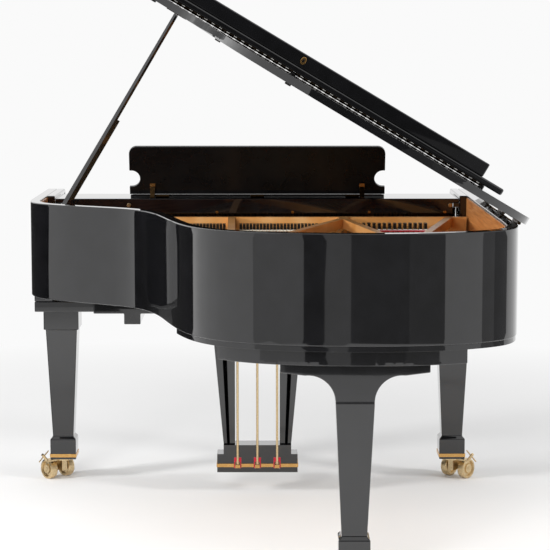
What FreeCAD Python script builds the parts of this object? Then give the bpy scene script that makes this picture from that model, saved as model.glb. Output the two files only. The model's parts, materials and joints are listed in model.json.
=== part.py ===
"""Small grand piano with its lid up on the long prop, front flap folded back and music desk raised.

Case frame: x across (bass -, treble +), y from the arm fronts to the tail, z up from the floor, millimetres.
Every node is then shifted so that the origin is at the middle of the floor under the whole piano.
"""
import FreeCAD, Part
import math
import os
import re
import Sketcher

doc = FreeCAD.newDocument("GrandPiano")

# Driving dimensions, in millimetres and degrees, piece by piece.
SIZES = {
    # case
    "case_length": 1720, "keybed_bottom": 633, "keybed_thick": 35, "keybed_length": 450,
    "keybed_setback": 4, "arm_base": 40, "rim_height": 309, "rim_wall": 34, "lining_wall": 4,
    "lining_drop": 6, "bead_height": 15, "bead_inset": 3, "inner_rim_wall": 40, "board_drop": 172,
    "inner_rim_hang": 59, "arm_width": 62, "arm_setback": 105, "beam_width": 60, "beam_drop": 27,
    "belly_gap": 46, "bearer_inset": 332, "bearer_width": 55, "bearer_length": 400, "bearer_drop": 36,
    # keyboard
    "octave_pitch": 165, "block_gap": 8, "block_width": 67.143, "block_height": 79, "slip_thick": 18,
    "slip_height": 55, "key_front": 26, "key_back_gap": 32, "key_rise": 67, "key_height": 22,
    "key_gap": 1, "key_lift": 0.95, "sharp_width": 11, "sharp_rise": 12, "rail_height": 20,
    "rail_width": 40, "balance_from_front": 232, "name_lead": 14, "nameboard_height": 31,
    "nameboard_thick": 16, "felt_thick": 3, "felt_height": 7, "fall_clear": 24, "fall_pivot_lift": 54,
    "fall_room": 25, "fall_thick": 18, "fall_tilt": 3, "fall_gap": 5, "fall_end_gap": 0.4,
    "fall_lip": 14, "fall_pin_radius": 5, "fall_pin_reach": 14, "fall_pin_fit": 0.05,
    # music desk
    "tray_setback": 5, "tray_depth": 228, "tray_thick": 15, "tray_drop": 10, "tray_end_gap": 1,
    "tray_rail_width": 20, "rail_depth": 14, "apron_height": 36, "apron_thick": 12, "ledge_height": 9,
    "ledge_width": 22, "desk_setback": 44, "desk_half": 436, "desk_height": 176, "desk_thick": 15,
    "desk_tilt": 15, "desk_lift": 6.4, "desk_corner": 26, "notch_radius": 29, "notch_centre": 62,
    "notch_set": 7, "desk_hinge_radius": 6, "desk_hinge_length": 46, "strut_x": 357, "strut_width": 16,
    "strut_thick": 4, "strut_height": 46, "strut_gap": 0.5, "strut_eye": 3, "knob_radius": 7,
    "knob_length": 9, "dot_radius": 5, "dot_proud": 2,
    # iron plate, strings and soundboard
    "board_thick": 8, "plate_lift": 12, "plate_thick": 18, "plate_margin": 8, "plate_flange": 88,
    "field_setback": 24, "field_length": 212, "field_thick": 13, "field_lift": 26, "capo_depth": 24,
    "strut_bar": 24, "strut_clear": 10, "strut_depth": 31, "pinblock_depth": 38, "pinblock_gap": 2,
    "bolt_radius": 9, "bolt_head": 8, "pin_radius": 3.2, "pin_height": 26, "string_lift": 27,
    "string_radius": 1, "bass_radius": 2, "string_gap": 0.6, "hitch_inset": 112, "bridge_inset": 205,
    "bridge_width": 26, "rib_width": 20, "rib_height": 18, "string_felt_height": 5,
    "string_felt_width": 26, "braid_lead": 6, "braid_width": 30, "braid_height": 4,
    "braid_gap": 0.4,
    # action
    "damper_back": 30, "damper_length": 34, "damper_width": 9, "damper_height": 24, "damper_seat": 0.4,
    "damper_wire": 1.4, "damper_bar_drop": 150, "damper_bar_size": 14, "hammer_back": 108,
    "hammer_clear": 4, "hammer_reach": 140, "hammer_head": 64, "hammer_drop": 17, "hammer_slack": 0.3,
    "hammer_width": 9, "hammer_shank": 6, "hammer_rail_size": 22, "bracket_thick": 12,
    "bracket_depth": 40,
    # lid
    "lid_angle": 30.8, "lid_thick": 22, "lid_rise": 6, "lid_overhang": 18, "lid_axis_out": 6,
    "flap_front": 12, "flap_gap": 3, "flap_stack": 10, "lip_height": 46, "lip_thick": 20,
    "lip_end_gap": 2, "escutcheon_long": 13, "escutcheon_wide": 9, "escutcheon_thick": 3,
    "hinge_radius": 5, "hinge_leaf": 3, "hinge_width": 34, "hinge_length": 120, "hinge_knuckle": 24,
    "hinge_slack": 0.5, "bead_pitch": 29, "bead_gap": 11, "bead_radius": 4.5,
    "bumper_radius": 9, "bumper_gap": 0.5,
    # prop
    "prop_back": 150, "prop_inset": 105, "prop_drop": 38, "prop_width": 20, "prop_tip": 11,
    "prop_thick": 10, "prop_gap": 0.4, "prop_cup_thick": 4, "prop_cup_size": 70, "prop_pin_radius": 5,
    "prop_pin_fit": 0.05, "half_length": 300, "half_start": 60, "half_width": 12, "half_thick": 12,
    "half_gap": 0.5, "half_pin_radius": 3,
    # legs
    "leg_inset": 66, "leg_y": 176, "tail_leg_back": 120, "leg_block_width": 122,
    "leg_block_height": 92, "leg_wide": 109, "leg_slim": 72, "foot_width": 90, "foot_height": 52,
    "foot_flare": 9, "foot_base": 8, "band_height": 12, "band_proud": 1.5, "wing_half": 208,
    "wing_thick": 96, "wing_end": 24,
    # casters
    "wheel_radius": 36, "wheel_room": 6, "wheel_width": 28, "wheel_gap": 46, "wheel_fit": 0.6,
    "axle_radius": 6, "axle_fit": 0.05, "hub_radius": 11, "fork_width": 22, "caster_trail": 41,
    "front_turn": 43, "tail_turn": 25, "caster_gap": 0.5, "plate_radius": 34, "caster_plate": 6,
    "brake_reach": 80, "brake_width": 16, "brake_stem": 5, "brake_length": 34, "brake_lean": 40,
    "brake_bar": 2.2, "brake_span": 54,
    # lyre and pedals
    "lyre_setback": 50, "lyre_half": 137, "lyre_bottom": 80, "lyre_box_height": 63, "lyre_depth": 78,
    "post_wide": 81, "post_slim": 39, "post_depth": 44, "post_inset": 76, "lyre_ledge": 31,
    "trim_height": 12, "trim_thick": 2, "bush_width": 24, "bush_height": 37, "bush_thick": 4,
    "pedal_pitch": 67, "pedal_width": 30, "pedal_shank": 16, "pedal_thick": 10, "pedal_front": 165,
    "pedal_back": 58, "pedal_slot": 8, "pedal_level": 24, "pedal_fit": 0.05, "pedal_side_gap": 0.6,
    "pedal_pivot_radius": 4, "rod_radius": 4, "rod_back": 3, "rod_gap": 0.4,
    "rod_head_room": 10, "post_groove": 16,
}
sheet = doc.addObject("Spreadsheet::Sheet", "Sizes")
for row, (alias, amount) in enumerate(SIZES.items(), start=1):
    sheet.set(f"A{row}", alias)
    sheet.set(f"B{row}", str(amount))
    sheet.setAlias(f"B{row}", alias)
doc.recompute()


# Places and lengths that follow from the sizes, so that a changed size carries its neighbours with it.
TAIL_LEG_SHARE, SHARP_SHARE = .368, .64
FOLLOWING = {
    "case_width": "2*(octave_pitch/7*26 + block_gap + block_width + arm_width)",
    "rim_top": "keybed_bottom + keybed_thick + arm_base + rim_height",
    "inner_rim_top": "rim_top - board_drop",
    "inner_rim_bottom": "rim_top - rim_height - inner_rim_hang",
    "arm_length": "keybed_length - arm_setback",
    "field_back": "keybed_length - field_setback",
    "field_front": "field_back - field_length",
    "damper_y": "keybed_length + damper_back",
    "hammer_pivot_y": "field_back - hammer_back",
    "hammer_pivot_z": "string_height - string_radius - hammer_head - hammer_clear",
    "string_height": "inner_rim_top + board_thick + plate_lift + plate_thick + string_lift",
    "plate_crown": "string_height + strut_clear + strut_depth",
    "key_top": "keybed_bottom + keybed_thick + key_rise",
    "key_length": "keybed_length - key_front - key_back_gap",
    "key_show": "fall_pivot_y - key_front - name_lead",
    "sharp_show": f"key_show*{SHARP_SHARE}",
    "fall_pivot_y": "field_front - fall_clear",
    "fall_pivot_z": "key_top + fall_pivot_lift",
    "fall_length": "rim_top - tray_drop - tray_thick - fall_room - fall_pivot_z",
    "tray_back": "arm_length - tray_setback",
    "tray_front": "tray_back - tray_depth",
    "desk_y": "tray_back - desk_setback",
    "bearer_x": "case_width/2 - bearer_inset",
    "prop_x": "case_width/2 - prop_inset",
    "prop_y": "keybed_length + prop_back",
    "prop_z": "rim_top - prop_drop",
    "leg_x": "case_width/2 - leg_inset",
    "leg_joint": "keybed_bottom - leg_block_height",
    "leg_end": "wheel_radius*2 + wheel_room + foot_base + band_height + foot_height + foot_flare",
    "tail_leg_x": f"-case_width/2*{TAIL_LEG_SHARE}",
    "tail_leg_y": "case_length - tail_leg_back",
    "lyre_y": "keybed_length - lyre_setback",
}


def linked(text):
    """The expression with each size's alias pointed at the sheet."""
    def known(match):
        word = match.group()
        if word in FOLLOWING:
            return f"({linked(FOLLOWING[word])})"
        return f"Sizes.{word}" if word in SIZES else word

    return re.sub(r"[a-z][a-z0-9_]*", known, str(text))


def value(text):
    """The present value of an expression in the sheet's sizes."""
    amount = sheet.evalExpression(linked(text))
    return float(getattr(amount, "Value", amount))


def bind(item, prop, text):
    item.setExpression(prop, linked(text))


# Places that several pieces share, as expressions in the sheet's sizes.
HALF = "(case_width/2)"
RIM_BOTTOM = "(rim_top - rim_height)"
BED_TOP = "(keybed_bottom + keybed_thick)"
ARM_INSIDE = f"({HALF} - arm_width)"
LINER = "(rim_wall + lining_wall)"
BOARD_TOP = "(inner_rim_top + board_thick)"
PLATE_BOTTOM = f"({BOARD_TOP} + plate_lift)"
PLATE_TOP = f"({PLATE_BOTTOM} + plate_thick)"
FIELD_TOP = f"({PLATE_TOP} + field_lift)"
TRAY_TOP = "(rim_top - tray_drop)"
TRAY_UNDER = f"({TRAY_TOP} - tray_thick)"
TRAY_HALF = f"({ARM_INSIDE} - tray_end_gap)"
KEY_BOTTOM = "(key_top - key_height)"
WHITE_PITCH = "(octave_pitch/7)"
KEYS_HALF = f"({WHITE_PITCH}*26)"
LID_X = f"(-{HALF} - lid_axis_out)"
LID_Z = "rim_top"
BELLY = "(keybed_length + belly_gap)"
# How far the raised lid stands out past the spine, and the treble caster's outer wheel past the other side.
LID_OUT = ("(lid_axis_out + (lid_overhang - lid_axis_out)*cos(lid_angle)"
           " + (lid_rise + lid_thick*2 + flap_stack)*sin(lid_angle))")
WHEEL_OUT = ("((wheel_gap/2 + wheel_width*7/8)*cos(front_turn)"
             " + (caster_trail + wheel_radius)*sin(front_turn) - leg_inset)")
SHIFT_X = f"(({LID_OUT} - {WHEEL_OUT})/2)"
SHIFT_Y = "(-(case_length + lid_overhang)/2)"
nodes = []


def place(item, label, frame="case"):
    """Names a node and sets it in the part's frame; the lid's nodes are turned about the lid's axis."""
    item.Label = label
    if frame == "lid":
        turn = FreeCAD.Rotation(FreeCAD.Vector(0, -1, 0), value("lid_angle"))
        item.Placement = FreeCAD.Placement(FreeCAD.Vector(), turn)
        bind(item, "Placement.Rotation.Angle", "lid_angle")
        bind(item, "Placement.Base.x", f"{SHIFT_X} + {LID_X}")
        bind(item, "Placement.Base.z", LID_Z)
    else:
        bind(item, "Placement.Base.x", SHIFT_X)
    bind(item, "Placement.Base.y", SHIFT_Y)
    nodes.append(item)
    return item


def box(x0, x1, y0, y1, z0, z1):
    """A block between named planes."""
    item = doc.addObject("Part::Box", "Block")
    for prop, low, high in (("Length", x0, x1), ("Width", y0, y1), ("Height", z0, z1)):
        bind(item, prop, f"({high}) - ({low})")
    for axis, low in zip("xyz", (x0, y0, z0)):
        bind(item, f"Placement.Base.{axis}", low)
    return item


TURNS = {"x": (FreeCAD.Vector(0, 1, 0), 90), "y": (FreeCAD.Vector(1, 0, 0), -90),
         "z": (FreeCAD.Vector(0, 0, 1), 0)}


def rod(radius, length, x, y, z, along="z"):
    """A round bar that starts at a point and runs along an axis."""
    item = doc.addObject("Part::Cylinder", "Rod")
    bind(item, "Radius", radius)
    bind(item, "Height", length)
    item.Placement = FreeCAD.Placement(FreeCAD.Vector(), FreeCAD.Rotation(*TURNS[along]))
    for axis, low in zip("xyz", (x, y, z)):
        bind(item, f"Placement.Base.{axis}", low)
    return item


def taper(wide_x0, wide_x1, wide_y0, wide_y1, top, slim_x0, slim_x1, slim_y0, slim_y1, bottom):
    """A four-sided shaft that narrows from its top face to its bottom face."""
    item = doc.addObject("Part::Wedge", "Shaft")
    sides = {"Xmin": slim_x0, "Xmax": slim_x1, "Zmin": f"-({slim_y1})", "Zmax": f"-({slim_y0})",
             "X2min": wide_x0, "X2max": wide_x1, "Z2min": f"-({wide_y1})", "Z2max": f"-({wide_y0})",
             "Ymin": bottom, "Ymax": top}
    for prop, text in sides.items():
        setattr(item, prop, value(text))
        bind(item, prop, text)
    item.Placement = FreeCAD.Placement(FreeCAD.Vector(), FreeCAD.Rotation(FreeCAD.Vector(1, 0, 0), 90))
    return item


def joined(*pieces):
    item = doc.addObject("Part::MultiFuse", "Joined")
    item.Shapes = list(pieces)
    item.Refine = True
    return item


def less(base, *tools):
    """A piece with others cut out of it."""
    item = doc.addObject("Part::Cut", "Trimmed")
    item.Base = base
    item.Tool = tools[0] if len(tools) == 1 else joined(*tools)
    return item


def group(label, pieces, frame="case"):
    """A node of one or more separate solids."""
    item = doc.addObject("Part::Compound", "Group")
    item.Links = list(pieces)
    return place(item, label, frame)


def shaped(label, shapes, frame="case"):
    """A node whose solids are made directly, where no parametric feature fits."""
    item = doc.addObject("Part::Feature", "Shape")
    item.Shape = Part.makeCompound(shapes)
    return place(item, label, frame)


def outline_sketch(body, role, points):
    """A closed sketch of straight sides whose corners are bound to the sheet."""
    plane = [p for p in body.Origin.OriginFeatures if p.Role == role][0]
    sketch = body.newObject("Sketcher::SketchObject", "Outline")
    sketch.AttachmentSupport = [(plane, "")]
    sketch.MapMode = "FlatFace"
    corners = [FreeCAD.Vector(value(x), value(y), 0) for x, y in points]
    for start, end in zip(corners, corners[1:] + corners[:1]):
        sketch.addGeometry(Part.LineSegment(start, end), False)
    count = len(points)
    for side in range(count):
        sketch.addConstraint(Sketcher.Constraint("Coincident", side, 2, (side + 1) % count, 1))
    for side, corner in enumerate(points):
        for kind, text in zip(("DistanceX", "DistanceY"), corner):
            at = sketch.addConstraint(Sketcher.Constraint(kind, -1, 1, side, 1, value(text)))
            bind(sketch, f"Constraints[{at}]", text)
    return sketch


# Case: the bent rim, from the spine round the tail and along the bentside to the treble side.
# Control points, across as shares of the half width: round the tail as far in front of it in half widths,
# at the waist as shares of the way between, and on the treble side as far behind the keybed in half widths.
TAIL_SHARES = ((-1, .49307), (-1, .344), (-.972, .21099), (-.885, .11925), (-.735, .04128), (-.54, 0),
               (-.33, 0), (-.10, .02293), (.110, .11008), (.235, .25227), (.305, .4472))
WAIST_SHARES = ((.355, .728), (.405, .426), (.495, .154))
SIDE_SHARES = ((.690, .48704), (.890, .35861), (1, .23707), (1, .0536))
CURVE_STEPS = 40


def rim_curve(inset):
    """The curved stretch of the rim's outline, from control points, moved inwards by an inset."""
    half, length, front = value(HALF), value("case_length"), value("keybed_length")
    poles = [FreeCAD.Vector(x*half, length - y*half, 0) for x, y in TAIL_SHARES]
    side = [FreeCAD.Vector(x*half, front + y*half, 0) for x, y in SIDE_SHARES]
    near, far = side[0].y, poles[-1].y
    poles += [FreeCAD.Vector(x*half, near + y*(far - near), 0) for x, y in WAIST_SHARES] + side
    curve = Part.BSplineCurve()
    curve.buildFromPoles(poles, False, 3)
    if not inset:
        return curve
    moved = []
    for step in range(CURVE_STEPS + 1):
        at = curve.FirstParameter + (curve.LastParameter - curve.FirstParameter)*step/CURVE_STEPS
        along = curve.tangent(at)[0]
        moved.append(curve.value(at) + FreeCAD.Vector(along.y, -along.x, 0)*inset)
    inner = Part.BSplineCurve()
    inner.interpolate(moved)
    return inner


def curve_point(inset, share):
    """A point of an inset outline, from the spine end (0) to the treble end (1)."""
    curve = rim_curve(inset)
    return curve.value(curve.FirstParameter + (curve.LastParameter - curve.FirstParameter)*share)


def rim_path(inset, front):
    """Edges from the bass front up the spine, round the tail and down the treble side to the front."""
    curve = rim_curve(inset)
    start, end = curve.StartPoint, curve.EndPoint
    spine = Part.LineSegment(FreeCAD.Vector(start.x, front, 0), start).toShape()
    treble = Part.LineSegment(end, FreeCAD.Vector(end.x, front, 0)).toShape()
    return [spine, curve.toShape(), treble]


def rim_ring(outside, inside, low, high, front):
    """A wall that follows the rim between two insets."""
    outer, inner = rim_path(value(outside), value(front)), rim_path(value(inside), value(front))
    ends = []
    for a, b in ((outer[0].firstVertex(), inner[0].firstVertex()),
                 (outer[2].lastVertex(), inner[2].lastVertex())):
        ends.append(Part.LineSegment(a.Point, b.Point).toShape())
    face = Part.Face(Part.Wire(Part.__sortEdges__(outer + inner + ends)))
    face.translate(FreeCAD.Vector(0, 0, value(low)))
    return face.extrude(FreeCAD.Vector(0, 0, value(f"({high}) - ({low})")))


def rim_panel(inset, low, high, front):
    """A flat panel that fills the rim from a straight front edge to the tail."""
    path = rim_path(value(inset), value(front))
    close = Part.LineSegment(path[2].lastVertex().Point, path[0].firstVertex().Point).toShape()
    face = Part.Face(Part.Wire(Part.__sortEdges__(path + [close])))
    face.translate(FreeCAD.Vector(0, 0, value(low)))
    return face.extrude(FreeCAD.Vector(0, 0, value(f"({high}) - ({low})")))


def outer_rim():
    shaped("outer_rim", [rim_ring("0", "rim_wall", RIM_BOTTOM, "rim_top", "0")])


def rim_lining():
    """Veneered wood on the inside of the rim above the inner rim, behind the arms."""
    shaped("rim_lining", [rim_ring("rim_wall", LINER, PLATE_TOP, "rim_top - lining_drop", "arm_length")])


# How far the tail block reaches towards the spine and the treble side, and where the bead stops at the
# waist, in front of the tail, as shares of the half width.
TAIL_BLOCK_SHARES = (-.783, .177)
BEAD_END_SHARE = .48


def inner_rim():
    """The wall that the soundboard sits on, and the block under its tail that the tail leg is fixed to."""
    wall = rim_ring("rim_wall", "rim_wall + inner_rim_wall", RIM_BOTTOM, "inner_rim_top", "keybed_length")
    block = rim_panel("rim_wall", "inner_rim_bottom", RIM_BOTTOM, "keybed_length")
    near, far = (value(HALF)*share for share in TAIL_BLOCK_SHARES)
    front = value("tail_leg_y - wing_thick/2")
    span = Part.makeBox(far - near, value("case_length") - front, value(RIM_BOTTOM),
                        FreeCAD.Vector(near, front, 0))
    shaped("inner_rim", [wall.fuse(block.common(span)).removeSplitter()])


def rim_bead():
    """Rounded bead glued under the rim's lower edge, along the spine and round the tail to the waist."""
    ring = rim_ring("bead_inset", "rim_wall", f"{RIM_BOTTOM} - bead_height", RIM_BOTTOM, "keybed_length")
    bare = Part.makeBox(value(HALF), value(f"case_length - {HALF}*{BEAD_END_SHARE}"), value("rim_top"))
    shaped("rim_bead", [ring.cut(bare)])


def arms():
    """The thick arms at both ends of the keyboard, their bases and the pins that the fallboard turns on."""
    rim_inside = f"({HALF} - rim_wall)"
    cheeks = (both_sides(ARM_INSIDE, rim_inside), both_sides(ARM_INSIDE, HALF))
    pieces = [box(x0, x1, "0", "arm_length", RIM_BOTTOM, "rim_top") for x0, x1 in cheeks[0]]
    pieces += [box(x0, x1, "0", "keybed_length", BED_TOP, RIM_BOTTOM) for x0, x1 in cheeks[1]]
    pieces += [rod("fall_pin_radius", "fall_pin_reach", x, "fall_pivot_y", "fall_pivot_z", "x")
               for x in (f"-{ARM_INSIDE}", f"{ARM_INSIDE} - fall_pin_reach")]
    group("arms", pieces)


def both_sides(near, far):
    """The span between two distances from the centre line, on the bass and the treble side."""
    return ((f"-({far})", f"-({near})"), (near, far))


BED_BAR_SHARE = .73


def around(middle, width):
    """The two ends of a width about a middle."""
    return f"({middle}) - ({width})/2", f"({middle}) + ({width})/2"


def keybed():
    """The shelf that carries the keyboard, with the bar along its back and a bearer under its treble end."""
    half = HALF
    corners = ((f"-{half}", "keybed_setback"), (half, "keybed_setback"), (half, "keybed_length"),
               (f"-{half}", "keybed_length"))
    body = doc.addObject("PartDesign::Body", "Keybed")
    sketch = outline_sketch(body, "XY_Plane", corners)
    bind(sketch, "AttachmentOffset.Base.z", "keybed_bottom")
    pad = body.newObject("PartDesign::Pad", "Pad")
    pad.Profile = sketch
    bind(pad, "Length", "keybed_thick")
    bar = f"{HALF}*{BED_BAR_SHARE}"
    bearer = box(*around("bearer_x", "bearer_width"), f"{BELLY} - bearer_length", BELLY,
                 "keybed_bottom - bearer_drop", "keybed_bottom")
    group("keybed", [joined(body, bearer, box(f"-{bar}", bar, "keybed_length", BELLY, "keybed_bottom",
                                              BED_TOP))])


def case_beams():
    """Braces under the soundboard and the rail across their front."""
    low = RIM_BOTTOM
    high = "(inner_rim_top - beam_drop)"
    inside = f"({HALF} - rim_wall - inner_rim_wall)"
    rail_back = f"({BELLY} + beam_width)"
    rail = Part.makeBox(2*value(inside), value("beam_width"), value(f"inner_rim_top - {low}"),
                        FreeCAD.Vector(-value(inside), value(BELLY), value(low)))
    room = rim_panel("rim_wall + inner_rim_wall", low, "inner_rim_top", "keybed_length")
    pieces = [rail.common(room)]
    for foot_share, head_share in BEAM_SHARES:
        start = FreeCAD.Vector(foot_share*value(inside), value(rail_back), 0)
        end = FreeCAD.Vector(head_share*value(inside), value("case_length"), 0)
        along = (end - start).normalize()
        aside = FreeCAD.Vector(-along.y, along.x, 0)*value("beam_width/2")
        run = Part.makePolygon([start + aside - along*value("beam_width"), end + aside, end - aside,
                                start - aside - along*value("beam_width"),
                                start + aside - along*value("beam_width")])
        bar = Part.Face(run).extrude(FreeCAD.Vector(0, 0, value(f"{high} - {low}")))
        bar.translate(FreeCAD.Vector(0, 0, value(low)))
        behind = rim_panel("rim_wall + inner_rim_wall", low, high, rail_back)
        pieces.append(bar.common(behind))
    shaped("case_beams", pieces)


# Each brace's start on the front rail and its aim at the tail, as shares of the half width inside.
BEAM_SHARES = ((-.75, -.62), (-.30, -.38), (.14, -.10))


def sides_of_piano():
    outer_rim()
    rim_lining()
    inner_rim()
    rim_bead()
    arms()
    keybed()
    case_beams()


sides_of_piano()


# Keyboard: slip, blocks, nameboard, fallboard, key frame and keys.
SLIP_TOP = f"({BED_TOP} + slip_height)"
NAME_FRONT = "(key_front + key_show)"


def key_slip():
    """The strip in front of the keys."""
    group("key_slip", [box(f"-({ARM_INSIDE})", ARM_INSIDE, "0", "slip_thick", BED_TOP, SLIP_TOP)])


def key_blocks():
    """The blocks that fill the ends of the keyboard."""
    sides = both_sides(f"({KEYS_HALF} + block_gap)", ARM_INSIDE)
    group("key_blocks", [box(x0, x1, "slip_thick", NAME_FRONT, BED_TOP, f"{BED_TOP} + block_height")
                         for x0, x1 in sides])


NAME_TOP = "(fall_pivot_z - fall_thick/2 - fall_gap)"


def nameboard():
    """The strip over the keys that the fallboard turns on, held by the arms."""
    low = f"({NAME_TOP} - nameboard_height)"
    strip = box(f"-({ARM_INSIDE})", ARM_INSIDE, NAME_FRONT, f"{NAME_FRONT} + nameboard_thick", low,
                NAME_TOP)
    group("nameboard", [strip])
    felt = box(f"-({KEYS_HALF})", KEYS_HALF, f"{NAME_FRONT}", f"{NAME_FRONT} + felt_thick",
               f"{low} - felt_height", low)
    group("nameboard_felt", [felt])


def fallboard():
    """The lid over the keys, standing open on its two end pins, with a rolled lip along its free edge."""
    half = f"({ARM_INSIDE} - fall_end_gap)"
    body = doc.addObject("PartDesign::Body", "Fallboard")
    back, front = "fall_thick/2", "-fall_thick/2"
    profile = ((front, "-fall_thick/2"), (back, "-fall_thick/2"), (back, "fall_length"),
               (f"{front} - fall_lip", "fall_length"),
               (f"{front} - fall_lip", "fall_length - fall_thick"),
               (front, "fall_length - fall_thick*3/2"))
    sketch = outline_sketch(body, "YZ_Plane", profile)
    pad = body.newObject("PartDesign::Pad", "Pad")
    pad.Profile = sketch
    bind(pad, "Length", f"2*{half}")
    pad.Midplane = True
    body.Placement = FreeCAD.Placement(FreeCAD.Vector(),
                                       FreeCAD.Rotation(FreeCAD.Vector(-1, 0, 0), value("fall_tilt")))
    bind(body, "Placement.Rotation.Angle", "fall_tilt")
    bind(body, "Placement.Base.y", "fall_pivot_y")
    bind(body, "Placement.Base.z", "fall_pivot_z")
    depth = "(fall_pin_reach + fall_end_gap)"
    bores = [rod("fall_pin_radius + fall_pin_fit", depth, x, "fall_pivot_y", "fall_pivot_z", "x")
             for x in (f"-{ARM_INSIDE}", f"{ARM_INSIDE} - {depth}")]
    group("fallboard", [less(body, *bores)])


def key_frame():
    """Three rails under the keys, and the end brackets that carry the hammer rail."""
    half = f"({KEYS_HALF} + block_gap/2)"
    pieces = []
    for middle, top in (("key_front + rail_width/2", f"{BED_TOP} + rail_height"),
                        ("key_front + balance_from_front", f"{KEY_BOTTOM} - key_lift"),
                        ("key_front + key_length - rail_width", f"{BED_TOP} + rail_height")):
        pieces.append(box(f"-({half})", half, f"{middle} - rail_width/2", f"{middle} + rail_width/2",
                          BED_TOP, top))
    rail_high = "(hammer_pivot_z + hammer_rail_size/2)"
    rail = rod("hammer_rail_size/2", f"({half})*2", f"-({half})", "hammer_pivot_y", "hammer_pivot_z", "x")
    ends = [box(x0, x1, "hammer_pivot_y - bracket_depth/2", "hammer_pivot_y + bracket_depth/2", BED_TOP,
                rail_high)
            for x0, x1 in both_sides(half, f"{half} + bracket_thick")]
    group("key_frame", pieces + [joined(rail, *ends)])


# White keys counted from the lowest of each seven, and where the black key above each one stands, if any.
SHARP_AFTER_SHARES = {0: .62, 2: .42, 3: .58, 5: .38, 6: .50}


def keys():
    """Fifty-two white keys and thirty-six black ones, each a lever on the balance rail."""
    pitch, gap = value(WHITE_PITCH), value("key_gap")
    front, show, length = value("key_front"), value("key_show"), value("key_length")
    low, high = value(KEY_BOTTOM), value("key_top")
    sharp, rise, reach = value("sharp_width"), value("sharp_rise"), value("sharp_show")
    left = -value(KEYS_HALF)
    sharp_front = front + show - reach - gap
    spans, whites, blacks = [], [], []
    for number in range(52):
        step = number % 7
        if step in SHARP_AFTER_SHARES and number < 51:
            middle = left + (number + 1)*pitch + (SHARP_AFTER_SHARES[step] - .5)*sharp
            spans.append((middle - sharp/2, middle + sharp/2))
    cutters = [Part.makeBox(b - a + 2*gap, length, 2*(high - low),
                            FreeCAD.Vector(a - gap, sharp_front - gap, low - gap))
               for a, b in spans]
    for number in range(52):
        x0, x1 = left + number*pitch + gap/2, left + (number + 1)*pitch - gap/2
        key = Part.makeBox(x1 - x0, length, high - low, FreeCAD.Vector(x0, front, low))
        near = [c for c, (a, b) in zip(cutters, spans) if b + gap > x0 and a - gap < x1]
        whites.append(key.cut(near) if near else key)
    for a, b in spans:
        profile = ((sharp_front, low), (front + length, low), (front + length, high),
                   (sharp_front + reach, high), (sharp_front + reach, high + rise),
                   (sharp_front + rise/2, high + rise), (sharp_front, high), (sharp_front, low))
        side = Part.makePolygon([FreeCAD.Vector(a, y, z) for y, z in profile])
        blacks.append(Part.Face(side).extrude(FreeCAD.Vector(b - a, 0, 0)))
    shaped("white_keys", whites)
    shaped("black_keys", blacks)


def keyboard():
    key_slip()
    key_blocks()
    nameboard()
    fallboard()
    key_frame()
    keys()


keyboard()


# Music desk: the sliding tray, the panel with a notch in each end, and the two rests behind it.
DESK_AXIS_Z = f"({TRAY_TOP} + desk_hinge_radius)"
HINGE_SHARES = (-.745, 0, .745)
KNOB_SHARES = (-.985, .655)
DOT_SHARES = (-.93, -.555, -.175, .2)


def music_tray():
    """Sliding shelf with an apron along its back edge and a ledge that keeps the sheets on the desk."""
    shelf = box(f"-({TRAY_HALF})", TRAY_HALF, "tray_front", "tray_back", TRAY_UNDER, TRAY_TOP)
    apron_half = f"({TRAY_HALF} - tray_rail_width - tray_end_gap)"
    apron = box(f"-({apron_half})", apron_half, "tray_back - apron_thick", "tray_back",
                f"{TRAY_UNDER} - apron_height", TRAY_UNDER)
    ledge_back = "(desk_y - desk_thick*2)"
    ledge = box("-desk_half", "desk_half", f"{ledge_back} - ledge_width", ledge_back, TRAY_TOP,
                f"{TRAY_TOP} + ledge_height")
    group("music_tray", [joined(shelf, apron, ledge)])
    strips = both_sides(f"({TRAY_HALF} - tray_rail_width)", ARM_INSIDE)
    group("tray_rails", [box(x0, x1, "tray_front", "arm_length", f"{TRAY_UNDER} - rail_depth",
                             TRAY_UNDER) for x0, x1 in strips])


def tray_fittings():
    """Desk hinge barrels on the tray, with the round knobs and screw heads on its apron."""
    pieces = [rod("desk_hinge_radius", "desk_hinge_length", f"{share}*desk_half - desk_hinge_length/2",
                  "desk_y", DESK_AXIS_Z, "x")
              for share in HINGE_SHARES]
    pieces += [rod("knob_radius", "knob_length", f"{share}*({TRAY_HALF} - tray_rail_width)", "tray_back",
                   f"{TRAY_UNDER} - knob_radius", "y") for share in KNOB_SHARES]
    pieces += [rod("dot_radius", "dot_proud", f"{share}*({TRAY_HALF})", "tray_back",
                   f"{TRAY_UNDER} - apron_height + dot_radius", "y") for share in DOT_SHARES]
    group("tray_fittings", pieces)


def leaned(shape):
    """A piece drawn upright on the desk's axis, leaned back and set on the tray."""
    shape.rotate(FreeCAD.Vector(), FreeCAD.Vector(1, 0, 0), -value("desk_tilt"))
    shape.translate(FreeCAD.Vector(0, value("desk_y"), value(DESK_AXIS_Z)))
    return shape


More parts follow.
